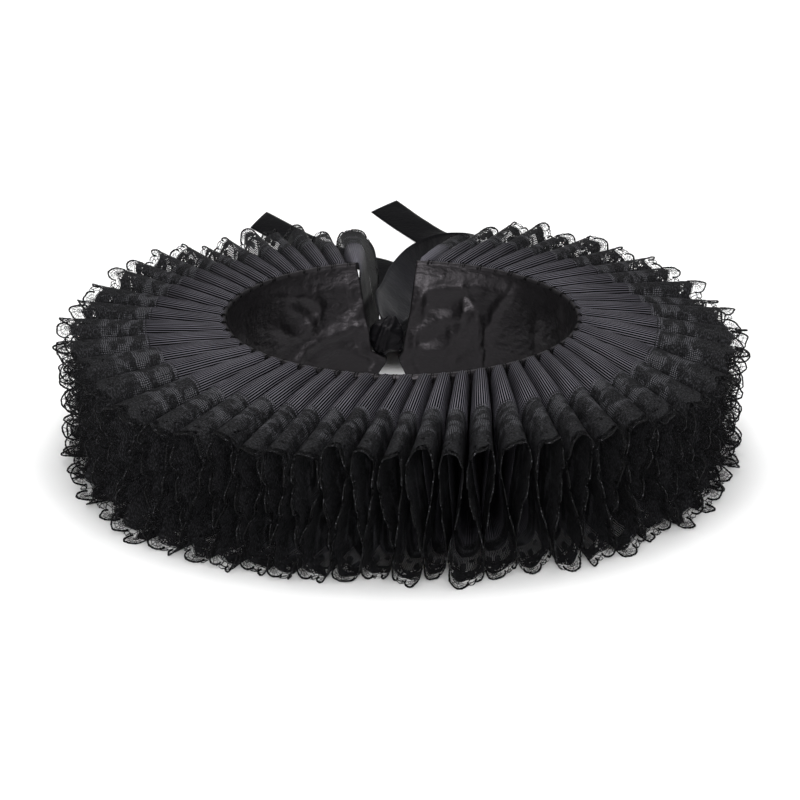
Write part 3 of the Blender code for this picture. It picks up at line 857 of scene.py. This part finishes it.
class LaceSide:
    """One length of the lace: its scallops and the way from edge length and inset to a point."""

    def __init__(self, side, settings):
        self.lengths = STRIP.edge_lengths()
        rows = STRIP.read(STRIP.fine)
        azimuth, rise = np.abs(rows[:, 1]), rows[:, 2]
        self.fronts = np.clip((CURL_END - azimuth) / (CURL_END - CURL_START), 0.0, 1.0)
        self.fronts *= np.clip((rise - CURL_LOW) / (CURL_HIGH - CURL_LOW), 0.0, 1.0)
        self.start, end = np.interp(side_spots(side), STRIP.fine, self.lengths)
        self.length = end - self.start
        self.scallops = round(self.length / settings.scallop)
        self.scallop = self.length / self.scallops

    def points(self, along, inset, lift=0.0):
        """along and inset are metres on the flat lace: from its end, and from the scallops' tips."""
        along, inset = np.broadcast_arrays(np.asarray(along, float), np.asarray(inset, float))
        from_ends = np.minimum(along, self.length - along)
        free = np.clip(1 - inset / LOOSE_WIDTH, 0.0, 1.0) * np.clip(from_ends / (3 * MM), 0, 1)
        inset = self.curled(along, inset)
        shift, drop = 0.0, 0.0
        for length, pull_along, pull_across, start in PULLS:
            wave = FULL_TURN * (along + self.start) / length
            shift = shift + pull_along * np.sin(wave + ALONG_LEAN * inset + start)
            drop = drop + pull_across * np.sin(wave * ACROSS_STEP - ACROSS_LEAN * inset + 2 * start)
        spots = np.interp(self.start + along + shift * free, self.lengths, STRIP.fine)
        reach = 1.0 - (inset - TIP_REACH * MM + drop * free) / STRIP_DEPTH
        return STRIP.surface(spots, reach, lift)

    def curled(self, along, inset):
        """The inset as seen from outside, where the scallops at the front curl back on themselves."""
        share = np.interp(self.start + along, self.lengths, self.fronts)
        return inset + share * np.clip(WAVE_MIDDLE * MM - inset, 0.0, None) * FRONT_CURL


def make_net(side, settings, material):
    """The net ground of one length, lapped over the cloth's edge on its face side."""
    lace = LaceSide(side, settings)
    columns = int(lace.length / NET_COLUMN) + 1
    along = np.linspace(0.0, lace.length, columns)
    widest = (1 - LACE_START) * STRIP_DEPTH + TIP_REACH * MM + LACE_OVERLAP
    inset = widest * np.linspace(0.0, 1.0, NET_ROWS) ** ROW_POWER
    grid_along, grid_inset = np.meshgrid(along, inset, indexing="ij")
    lap = np.clip((grid_inset - widest + 2 * LACE_OVERLAP) / LACE_OVERLAP, 0.0, 1.0)
    points, _ = lace.points(grid_along, grid_inset, LACE_LAP_LIFT * lap)
    from_end = grid_along if side == "left" else lace.length - grid_along
    coordinates = np.stack([from_end * settings.scallop / lace.scallop, grid_inset], -1)
    faces = [grid_quads(columns, NET_ROWS)]
    name, points = f"lace_net_{side}", points.reshape(-1, 3)
    piece = add_mesh(name, points, faces, coordinates.reshape(-1, 2), material)
    carry(piece, f"lace_edging_{side}")
    return piece, lace


ARCH_STEPS = 21
ARCH_HALF = math.radians(104.0)
KNOB = 1.25  # swelling of every other step of the arch
INNER_ARCH_HALF = 1.6
INNER_STEPS = 12
BAR_TURNS = (-80, -48, -16, 16, 48, 80)  # degrees round the fan's middle
INNER_SHARE = 0.66
EYE_STEPS = 9
LINK_RADIUS = 1.15
LINK_INSET = 3.7
WAVE_STEPS = 11


def make_border(side, lace, settings, material):
    """The scalloped edge of one length: a knobbed arch over each fan, bars, eyelets and a waved cord."""
    bag = TubeBag()
    cord, thread = settings.cord_radius, settings.thread_radius
    draw = np.random.default_rng(UNEVEN_SEED)
    middles = (np.arange(lace.scallops) + 0.5) * lace.scallop
    wide = draw.uniform(0.90, 1.08, (lace.scallops, 1, 1))
    deep = draw.uniform(0.88, 1.06, (lace.scallops, 1, 1))

    def add(local, inset, radii, sides=3, lift=0.0):
        """Adds lines to every scallop: local from its middle and inset from its tip, in millimetres."""
        local, inset = np.broadcast_arrays(np.asarray(local, float), np.asarray(inset, float))
        along = middles[:, None, None] + local[None] * wide * MM
        inward = (FAN_CENTRE - (FAN_CENTRE - inset[None]) * deep) * MM
        points, normals = lace.points(np.clip(along, 0.0, lace.length), inward, lift)
        points[..., 2] = np.maximum(points[..., 2], cord)
        steps = points.shape[2]
        bag.add(points.reshape(-1, steps, 3), normals.reshape(-1, steps, 3), radii, sides)

    def polar(turn, reach):
        return reach * np.sin(turn), FAN_CENTRE - reach * np.cos(turn)

    turn = np.linspace(-ARCH_HALF, ARCH_HALF, ARCH_STEPS)[None]
    knobs = cord * draw.uniform(0.85, 1.1, (lace.scallops, ARCH_STEPS))
    knobs[:, 1::2] *= KNOB
    add(*polar(turn, FAN_RADIUS), knobs, sides=4)
    turn = np.linspace(-INNER_ARCH_HALF, INNER_ARCH_HALF, INNER_STEPS)[None]
    add(*polar(turn, FAN_RADIUS * INNER_SHARE), thread)
    turn = np.radians(BAR_TURNS)[:, None]
    add(*polar(turn, np.array([FAN_EYE, FAN_RADIUS])[None]), thread * 0.8)
    turn = np.linspace(0.0, FULL_TURN, EYE_STEPS)[None]
    add(*polar(turn, FAN_EYE), thread * 1.5)

    # an eyelet between two fans, and a waved cord behind them all
    repeat = lace.scallop / MM
    add(repeat / 2 + LINK_RADIUS * np.sin(turn), LINK_INSET - LINK_RADIUS * np.cos(turn), thread * 1.4)
    wave = np.linspace(-0.5, 0.5, WAVE_STEPS)[None]
    inset = WAVE_MIDDLE - WAVE_DEPTH * np.cos(FULL_TURN * wave)
    add(wave * repeat, inset, thread * 1.3, lift=0.04 * MM)

    piece = bag.make(f"lace_border_{side}", material)
    carry(piece)
    return piece


class RUFF_OT_lace(bpy.types.Operator):
    """Add the net lace with its scalloped edge, in two lengths"""

    bl_idname = "ruff.lace"
    bl_label = "Lace Edging"

    def execute(self, context):
        settings = context.scene.ruff_lace
        net = net_lace(settings)
        thread = twisted_thread("lace_thread", settings.colour)
        for side in ("left", "right"):
            piece, lace = make_net(side, settings, net)
            border = make_border(side, lace, settings, thread)
        return {"FINISHED"}


# ---------------------------------------------------------------- the satin stand

# The stand's ends are apart at the top and at the table, and drawn together just under the knot.
STAND_ENDS = (
    # rise, azimuth of the left end, azimuth of the right end, in degrees
    (0.00, -171.2, 177.5),
    (0.14, -171.6, 178.8),
    (0.25, -175.5, 181.3),
    (0.31, -169.5, 179.6),
    (0.42, -168.7, 179.0),
    (0.62, -167.1, 177.0),
    (1.00, -164.2, 174.8),
)
SATIN_FOLDS = (
    # half width and depth in millimetres (a groove is negative), then the fold's line:
    # azimuth in degrees and height in millimetres of each corner
    (2.2, 1.5, (-126, 52), (-135, 48), (-142, 46), (-147, 43), (-150, 39), (-149, 35), (-146, 32)),
    (2.4, 1.1, (-146, 32), (-141, 29), (-136, 30), (-132, 34)),
    (1.6, 0.8, (-138, 41), (-142, 38), (-145, 35)),
    (2.8, 2.0, (-141, 18), (-144, 22), (-148, 24.5), (-154, 26.5), (-160, 28), (-169, 28)),
    (3.4, 1.2, (-146, 14), (-152, 20), (-159, 20), (-166, 15), (-169, 8)),
    (1.2, 0.5, (-145, 50), (-153, 48), (-161, 46.5)),
    (1.2, 0.5, (-149, 46), (-154, 45), (-161, 43.5)),
    (1.8, 0.8, (-166, 38), (-163, 34), (-161, 31)),
    (3.6, 2.0, (176, 34), (172, 42), (166, 45), (159, 47), (152, 49), (145, 49)),
    (0.9, -0.8, (167, 47), (163.5, 53)),
    (2.6, 1.4, (175, 24), (170, 29), (164, 32), (159, 34), (156, 37)),
    (2.8, 1.6, (175, 19), (170, 17), (165.5, 18.5), (162, 22.5), (159.5, 27), (157.5, 31), (156, 36)),
    (1.0, -1.0, (158, 47), (155, 40.6), (152.8, 36.3), (151, 32.4),
     (149.4, 28.9), (150.2, 24), (150.4, 10)),
    (0.8, -0.6, (152.7, 29.5), (151.3, 21), (152, 10)),
    (2.4, 1.5, (138, 49), (142, 42.5), (145, 37.5), (148, 31.5), (148.5, 26), (149, 14)),
    (3.0, 0.9, (125, 40), (126, 28), (122, 16)),
    (1.2, 0.6, (166, 14), (163.6, 17), (161, 12), (158, 14)),
    (3.4, 1.4, (112, 50), (106, 38), (108, 24), (101, 8)),
    (2.4, 1.1, (96, 46), (88, 34), (90, 22)),
    (3.0, 1.5, (74, 52), (70, 36), (62, 22), (64, 8)),
    (2.0, 1.0, (54, 44), (48, 34), (50, 20)),
    (3.2, 1.6, (36, 50), (33, 34), (24, 26), (26, 10)),
    (2.2, 1.1, (16, 46), (12, 34), (4, 30)),
    (3.0, 1.4, (4, 22), (-6, 18), (-8, 6)),
    (2.6, 1.3, (-14, 50), (-20, 40), (-18, 26), (-27, 14)),
    (2.0, 0.9, (-38, 48), (-36, 36), (-44, 28)),
    (3.2, 1.5, (-52, 52), (-56, 38), (-52, 24), (-60, 8)),
    (2.4, 1.2, (-76, 44), (-72, 32), (-80, 20)),
    (3.2, 1.4, (-92, 50), (-98, 36), (-94, 20), (-101, 8)),
    (2.2, 1.0, (-112, 40), (-108, 28), (-116, 18)),
)
# Small waves that bend the folds and rumple the cloth between them
SATIN_WAVES = (
    # length round the neck, length up, depth, start in radians
    (0.0170, 0.0230, 0.0006, 0.4),
    (0.0093, 0.0120, 0.0004, 2.6),
    (0.0051, 0.0071, 0.0002, 1.2),
)
SATIN_WAVE_SHARE, SATIN_BEND, SATIN_WARP_UP = 0.16, 2.0, 0.7
SATIN_FOLD_POWER = 1.7
SATIN_PUFF = 0.0009
HEM_PUFF, HEM_WIDTH, HEM_SLOPE = 0.0006, 6 * MM, 8
RIM_BAND, RIM_EASE, FOOT_BAND = 0.16, 1.5, 0.06  # shares of the height over which the folds fade
RIM_DROP = 0.0012
STAND_COLUMNS, STAND_ROWS = 520, 36


def distance_to_line(across, up, corners):
    """Distance in metres from each place on the stand to a fold's line."""
    nearest = np.full(np.broadcast(across, up).shape, 1.0)
    for (azimuth, height), (next_azimuth, next_height) in zip(corners, corners[1:]):
        ax, ay = math.radians(azimuth) * NECK_RADIUS, height * MM
        dx, dy = math.radians(next_azimuth) * NECK_RADIUS - ax, next_height * MM - ay
        share = np.clip(((across - ax) * dx + (up - ay) * dy) / (dx * dx + dy * dy), 0.0, 1.0)
        nearest = np.minimum(nearest, np.hypot(across - ax - share * dx, up - ay - share * dy))
    return nearest


def satin_swelling(azimuth, height):
    """How far the loose satin stands in from the ruffle's seam."""
    across = azimuth * NECK_RADIUS
    warp, swelling = 0.0, SATIN_PUFF
    for length_across, length_up, depth, start in SATIN_WAVES:
        climb = FULL_TURN * height / length_up
        wave = np.sin(FULL_TURN * across / length_across + SATIN_BEND * np.sin(climb + start))
        warp = warp + depth * wave
        swelling = swelling + SATIN_WAVE_SHARE * depth * (1 + wave * np.cos(climb))
    for half_width, depth, *corners in SATIN_FOLDS:
        distance = distance_to_line(across + warp, height + warp * SATIN_WARP_UP, corners)
        share = distance / (half_width * MM)
        swelling = swelling + depth * MM * np.exp(-(share**SATIN_FOLD_POWER))
    return np.maximum(swelling, 0.0)


def ring(radius, azimuth, height):
    """Points round the neck's axis."""
    x, y = AXIS.x + radius * np.sin(azimuth), AXIS.y - radius * np.cos(azimuth)
    return np.stack(np.broadcast_arrays(x, y, height), -1)


def make_stand(settings, material):
    """The satin band: a closed shell whose inner side hangs in soft folds from a thin turned rim."""
    rise = np.linspace(0.0, 1.0, STAND_ROWS)[None]
    height = rise * (STAND_HEIGHT - RIM_DROP)
    rises, lefts, rights = np.array(STAND_ENDS).T
    start, end = (np.radians(np.interp(rise, rises, ends)) for ends in (lefts, rights))
    azimuth = start + (end - start) * np.linspace(0.0, 1.0, STAND_COLUMNS)[:, None]
    loose = np.clip((1 - rise) / RIM_BAND, 0.0, 1.0) ** RIM_EASE * np.clip(rise / FOOT_BAND, 0.0, 1.0)
    from_ends = np.minimum(azimuth - start, end - azimuth) * NECK_RADIUS
    hem = np.clip(HEM_SLOPE * (1 - from_ends / HEM_WIDTH), 0.0, 1.0)
    puff = (satin_swelling(azimuth, height) + HEM_PUFF * hem) * loose
    outside = ring(STAND_OUTER + 0 * azimuth, azimuth, height)
    inside = ring(STAND_OUTER - puff - settings.wall, azimuth, height)
    coordinates = np.stack([azimuth * NECK_RADIUS, np.broadcast_to(height, azimuth.shape)], -1)
    piece = shell("stand_satin", outside, inside, coordinates, material)
    carry(piece, "neck_stand")


STITCH_PATH = (
    # way outward and way upward from the rim's middle, in millimetres
    (1.3, -2.6),
    (1.0, -1.1),
    (0.6, 0.05),
    (0.0, 0.30),
    (-0.7, 0.1),
    (-1.05, -0.5),
    (-1.1, -1.2),
)
STITCHES_A_LOOP = 3
# In millimetres: from stitch to stitch, how far one strays, its slant and its thread's radius
STITCH_SPACING, STITCH_STRAY, STITCH_SLANT, STITCH_RADIUS = 0.85, 0.2, (0.6, 1.5), (0.10, 0.20)
RIM_MIDDLE = STAND_OUTER - 0.3 * MM


def make_rim_stitches(material):
    """Overcast thread over the rim in each gap between two pleats."""
    bag = TubeBag()
    draw = np.random.default_rng(UNEVEN_SEED + 2)
    outward, upward = np.array(STITCH_PATH).T * MM
    steps = np.linspace(-0.5, 0.5, len(STITCH_PATH))
    for loop in range(1, PLEATS):
        middle = neck_azimuth(2 * loop / PLEATS - 1)
        for stitch in range(draw.integers(1, STITCHES_A_LOOP + 1)):
            aside = (stitch - 1) * STITCH_SPACING + draw.uniform(-STITCH_STRAY, STITCH_STRAY)
            azimuth = middle + (aside + steps * draw.uniform(*STITCH_SLANT)) * MM / NECK_RADIUS
            path = ring(RIM_MIDDLE + outward, azimuth, STAND_HEIGHT - RIM_DROP + upward)
            normals = unit(path - ring(RIM_MIDDLE, azimuth, STAND_HEIGHT - 3 * MM))
            bag.add(path[None], normals[None], draw.uniform(*STITCH_RADIUS) * MM, 5)
    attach(bag.make("rim_stitches", material), "root")


class RUFF_OT_stand(bpy.types.Operator):
    """Add the satin neck stand"""

    bl_idname = "ruff.stand"
    bl_label = "Satin Stand"

    def execute(self, context):
        settings = context.scene.ruff_satin
        colour = shade(settings.colour, 0.8)
        make_stand(settings, satin("stand_satin", colour, STAND_WRINKLE, STAND_GLOSS))
        make_rim_stitches(twisted_thread("rim_thread", shade(settings.colour, 0.6)))
        return {"FINISHED"}


# ---------------------------------------------------------------- the ribbon tie

UNDER_RIBBON = (
    # x, y, z from the neck's axis, width, roll in degrees
    (-0.0064, 0.0710, 0.0188, 0.0050, 70.0),
    (-0.0034, 0.0900, 0.0088, 0.0110, 20.0),
    (0.0000, 0.1150, 0.0022, 0.0150, 3.0),
    (0.0010, 0.1400, 0.0007, 0.0180, 0.0),
    (-0.0010, 0.1750, 0.0007, 0.0190, 0.0),
    (-0.0040, 0.2120, 0.0007, 0.0190, 0.0),
    (-0.0105, 0.2300, 0.0007, 0.0190, 0.0),
    (-0.0235, 0.2410, 0.0007, 0.0190, 0.0),
    (-0.0375, 0.2555, 0.0007, 0.0190, 0.0),
    (-0.0510, 0.2740, 0.0007, 0.0190, 0.0),
    (-0.0695, 0.3050, 0.0007, 0.0190, 0.0),
)
OVER_RIBBON = (
    (-0.0066, 0.0721, 0.0255, 0.0130, 116.0),
    (-0.0050, 0.0900, 0.0268, 0.0172, 134.0),
    (-0.0010, 0.1200, 0.0225, 0.0188, 142.0),
    (0.0022, 0.1500, 0.0195, 0.0190, 140.0),
    (0.0082, 0.1800, 0.0172, 0.0190, 132.0),
    (0.0165, 0.2050, 0.0135, 0.0190, 112.0),
    (0.0245, 0.2260, 0.0093, 0.0190, 68.0),
    (0.0260, 0.2470, 0.0055, 0.0190, 28.0),
    (0.0150, 0.2730, 0.0014, 0.0190, 3.0),
    (0.0030, 0.3000, 0.0007, 0.0190, 0.0),
    (-0.0085, 0.3280, 0.0007, 0.0190, 0.0),
)
# How far each slanted end leads at its first edge
UNDER_RIBBON_CUT, OVER_RIBBON_CUT = 0.0190, 0.0136
CUT_POWER = 12  # a high power keeps the slant close to the end
RIBBON_STEPS, RIBBON_COLUMNS = 150, 13
RIBBON_WAVE, RIBBON_WAVE_LENGTH, RIBBON_CURL = 0.25 * MM, 0.043, 0.35 * MM
RIBBON_LOWEST = 0.05 * MM
KNOT_CENTRE = (-0.0061, 0.0668, 0.0232)
KNOT_HALF_SIZE = (0.0069, 0.0050, 0.0076)
KNOT_RINGS, KNOT_SIDES = 60, 96
STRAP_HEIGHT, STRAP_HALF_WIDTH, STRAP_EDGE, STRAP_CREASES = 0.20, 0.33, 0.03, 26


def smooth_route(table, steps):
    """Catmull-Rom curve through the rows of a table."""
    rows = np.array(table)
    rows = np.concatenate([[2 * rows[0] - rows[1]], rows, [2 * rows[-1] - rows[-2]]])
    share = np.linspace(0.0, len(rows) - 3, steps)
    span = np.minimum(share.astype(int), len(rows) - 4)
    t = (share - span)[:, None]
    a, b, c, d = (rows[span + shift] for shift in range(4))
    straight, bend = 2 * b + (c - a) * t, (2 * a - 5 * b + 4 * c - d) * t**2
    return 0.5 * (straight + bend + (3 * b - a - 3 * c + d) * t**3)


def make_ribbon(name, node, table, cut, settings, material):
    """A satin ribbon along its route, with a slanted end, soft waves and a slight curl across."""
    route = smooth_route(table, RIBBON_STEPS)
    places = route[:, :3] + np.array(AXIS)
    run = unit(np.gradient(places, axis=0))
    level = unit(np.cross(run, (0.0, 0.0, 1.0)))
    upright = np.cross(level, run)
    roll = np.radians(route[:, 4])[:, None]
    across = level * np.cos(roll) + upright * np.sin(roll)
    face = np.cross(run, across)
    share = np.linspace(1.0, -1.0, RIBBON_COLUMNS)
    width = route[:, 3]
    lead = np.linspace(0.0, 1.0, RIBBON_STEPS) ** CUT_POWER * cut / 2
    aside = share * width[:, None] / 2
    middle = places[:, None] + across[:, None] * aside[..., None]
    middle = middle + run[:, None] * (share * lead[:, None])[..., None]
    length = lengths_along(places)
    wave = RIBBON_WAVE * np.sin(FULL_TURN * length / RIBBON_WAVE_LENGTH)[:, None] * np.cos(1.5 * share)
    lift = wave + RIBBON_CURL * share**2
    wall = settings.ribbon_wall / 2
    front, back = (middle + face[:, None] * (lift + out)[..., None] for out in (wall, -wall))
    for points in (front, back):
        points[..., 2] = np.maximum(points[..., 2], RIBBON_LOWEST)
    coordinates = np.stack(np.broadcast_arrays(length[:, None], aside), -1)
    piece = shell(name, back, front, coordinates, material)
    carry(piece, node)
    return piece, length[-1]


def make_knot(material):
    """The two ribbons drawn round each other: a small bundle with folds that run to both ends."""
    slope = np.linspace(0.0, np.pi, KNOT_RINGS)[:, None]
    turn = np.linspace(0.0, FULL_TURN, KNOT_SIDES, endpoint=False)[None]
    lean = 1.5 * np.cos(slope)
    folds = 1 - 0.20 * np.abs(np.sin(2.5 * turn + lean)) ** 0.7
    folds = folds + 0.07 * np.sin(7 * turn - 2.3 * lean + 1.0)
    # the upper ribbon is drawn once round the bundle like a strap, with fine creases along it
    strap_place = np.cos(slope) * 0.9 + 0.35 * np.sin(turn + 0.6)
    strap = STRAP_HEIGHT / (1 + np.exp((np.abs(strap_place) - STRAP_HALF_WIDTH) / STRAP_EDGE))
    creases = strap * 0.5 * np.sin(STRAP_CREASES * strap_place) * 0.35
    size = np.sin(slope) ** 0.6 * (folds + strap + creases)
    x = -KNOT_HALF_SIZE[0] * np.cos(slope) + 0 * turn
    y = KNOT_HALF_SIZE[1] * size * np.cos(turn)
    z = KNOT_HALF_SIZE[2] * size * np.sin(turn)
    points = np.stack([x, y, z], -1).reshape(-1, 3) + np.array(KNOT_CENTRE) + np.array(AXIS)
    index = np.arange(KNOT_RINGS * KNOT_SIDES).reshape(KNOT_RINGS, KNOT_SIDES)
    corners = [index, np.roll(index, -1, 1)]
    quads = [corners[0][:-1], corners[1][:-1], corners[1][1:], corners[0][1:]]
    faces = [np.stack(quads, -1).reshape(-1, 4)]
    coordinates = np.stack(np.broadcast_arrays(slope * KNOT_HALF_SIZE[0], turn * KNOT_HALF_SIZE[1]), -1)
    piece = add_mesh("tie_knot", points, faces, coordinates.reshape(-1, 2), material)
    carry(piece, "ribbon_knot")
    return piece


class RUFF_OT_tie(bpy.types.Operator):
    """Add the two satin ribbons and their knot"""

    bl_idname = "ruff.tie"
    bl_label = "Ribbon Tie"

    def execute(self, context):
        settings = context.scene.ruff_satin
        colour = settings.ribbon_colour
        material = satin("ribbon_satin", colour, RIBBON_WRINKLE, RIBBON_GLOSS, RIBBON_LIT_LENGTH)
        knot = make_knot(satin("knot_satin", colour, RIBBON_WRINKLE, KNOT_GLOSS))
        for side, table, cut, others in (
            ("left", UNDER_RIBBON, UNDER_RIBBON_CUT, []),
            ("right", OVER_RIBBON, OVER_RIBBON_CUT, [knot]),
        ):
            name, node = f"tie_ribbon_{side}", f"ribbon_{side}"
            piece, length = make_ribbon(name, node, table, cut, settings, material)
        return {"FINISHED"}


# ---------------------------------------------------------------- stage

LENS = 128.5
TARGET_SHIFT = Vector((-0.00058, 0.0, 0.0203))
FLOOR_HALF = 6.0
# The floor's own glow: painted light just outside the ruff that lifts its shadow, then an even white far
# away
FLOOR_GLOWS = (
    # from this distance from the neck's axis on, softness, strength
    (0.138, 0.010, 0.19),
    (0.58, 0.35, 1.0),
)
NOTCH_GLOW = (0.013, 0.012, 0.62)  # within this distance, softness, strength
NOTCH_LIGHT = Vector((-0.0045, 0.0745, 0.0))  # middle of a painted pool of light on the floor under the opening below the knot
SOFT_LIGHTS = (
    # name, place from the neck's axis, side, power
    ("top_softbox", (0.0, 0.42, 1.2), 1.1, 13.0),
    ("left_softbox", (-1.0, -1.2, 0.60), 0.7, 4.5),
    ("right_softbox", (1.0, -1.2, 0.60), 0.7, 4.5),
    ("front_softbox", (0.0, -1.6, 0.70), 0.8, 21.5),
)
# The room's light fades towards the back: from and to in the direction's y, then the two strengths
SKY_FADE = (-0.2, 0.7, 0.38, 0.12)


def pale_floor(colour):
    """Matt white with painted light: a faint glow just outside the ruff that lifts its shadow, a painted
    pool of light behind the knot, and a full glow far away like a lit sweep.
    """
    graph = Graph(bpy.data.materials.new("pale_floor"))
    far = graph.distance(tuple(AXIS))
    behind = graph.distance(tuple(AXIS + NOTCH_LIGHT))
    (near_edge, near_softness, near), (edge, softness, full) = FLOOR_GLOWS
    notch_edge, notch_softness, notch = NOTCH_GLOW
    glow = graph.mix(far.above(near_edge, near_softness), (0.0, 0.0, 0.0), shade(colour, near))
    glow = graph.mix(behind.below(notch_edge, notch_softness), glow, shade(colour, notch))
    glow = graph.mix(far.above(edge, softness), glow, shade(colour, full))
    mottled = graph.mix(graph.noise(0.2), shade(colour, 0.995), tuple(colour))
    return graph.finish(Base_Color=mottled, Roughness=0.8, Emission_Color=glow, Emission_Strength=1.0)


def room_light():
    """Plain white light from all round, fading towards the back."""
    graph = Graph(bpy.data.worlds.new("studio"), "Background")
    direction = graph.node("ShaderNodeTexCoord")[0]
    backward = graph.node("ShaderNodeSeparateXYZ", values={0: direction})[1]
    strength = graph.node("ShaderNodeMapRange", values=dict(enumerate((backward, *SKY_FADE))))[0]
    return graph.finish(Color=(1.0, 1.0, 1.0, 1.0), Strength=strength)


def add_softbox(name, place, size, power):
    light = bpy.data.lights.new(name, "AREA")
    light.shape, light.size, light.energy = "SQUARE", size, power
    lamp = bpy.data.objects.new(name, light)
    lamp.location = AXIS + Vector(place)
    lamp.rotation_mode = "QUATERNION"
    lamp.rotation_quaternion = (-Vector(place)).to_track_quat("-Z", "Y")
    bpy.context.scene.collection.objects.link(lamp)


class RUFF_OT_stage(bpy.types.Operator):
    """Add the floor, the soft studio light and the camera"""

    bl_idname = "ruff.stage"
    bl_label = "Stage"

    def execute(self, context):
        settings = context.scene.ruff_stage
        scene = context.scene
        corners = np.array([(-1, -1, 0), (1, -1, 0), (1, 1, 0), (-1, 1, 0)], float) * FLOOR_HALF
        face = [np.array([[0, 1, 2, 3]])]
        add_mesh("floor", corners, face, corners[:, :2], pale_floor(settings.floor_colour))
        scene.world = room_light()
        scene.view_settings.view_transform = "Standard"
        for row in SOFT_LIGHTS:
            add_softbox(*row)

        camera = bpy.data.objects.new("camera", bpy.data.cameras.new("camera"))
        camera.data.lens = LENS
        elevation = settings.camera_elevation
        back = Vector((0.0, -math.cos(elevation), math.sin(elevation)))
        camera.location = AXIS + TARGET_SHIFT + back * settings.camera_distance
        camera.rotation_euler = (math.pi / 2 - elevation, 0.0, 0.0)
        scene.collection.objects.link(camera)
        scene.camera = camera
        return {"FINISHED"}


# ---------------------------------------------------------------- add-on

OPERATORS = (RUFF_OT_cloth, RUFF_OT_lace, RUFF_OT_stand, RUFF_OT_tie, RUFF_OT_stage)
SETTINGS = (
    ("ruff_cloth", RuffClothSettings),
    ("ruff_lace", RuffLaceSettings),
    ("ruff_satin", RuffSatinSettings),
    ("ruff_stage", RuffStageSettings),
)


class RUFF_PT_panel(bpy.types.Panel):
    """The ruff's pieces, in the order in which they are made"""

    bl_label = "Ruff Collar"
    bl_idname = "RUFF_PT_panel"
    bl_space_type = "VIEW_3D"
    bl_region_type = "UI"
    bl_category = "Ruff"

    def draw(self, context):
        for name, group in SETTINGS:
            box = self.layout.box()
            for key in group.__annotations__:
                box.prop(getattr(context.scene, name), key)
        for operator in OPERATORS:
            self.layout.operator(operator.bl_idname)


def register():
    for _, group in SETTINGS:
        bpy.utils.register_class(group)
    for item in (*OPERATORS, RUFF_PT_panel):
        bpy.utils.register_class(item)
    for name, group in SETTINGS:
        setattr(bpy.types.Scene, name, bpy.props.PointerProperty(type=group))


def unregister():
    for name, _ in SETTINGS:
        delattr(bpy.types.Scene, name)
    for item in (RUFF_PT_panel, *reversed(OPERATORS)):
        bpy.utils.unregister_class(item)
    for _, group in SETTINGS:
        bpy.utils.unregister_class(group)


def main():
    register()
    bpy.ops.ruff.cloth()
    bpy.ops.ruff.lace()
    bpy.ops.ruff.stand()
    bpy.ops.ruff.tie()
    bpy.ops.ruff.stage()


if __name__ == "__main__":
    main()
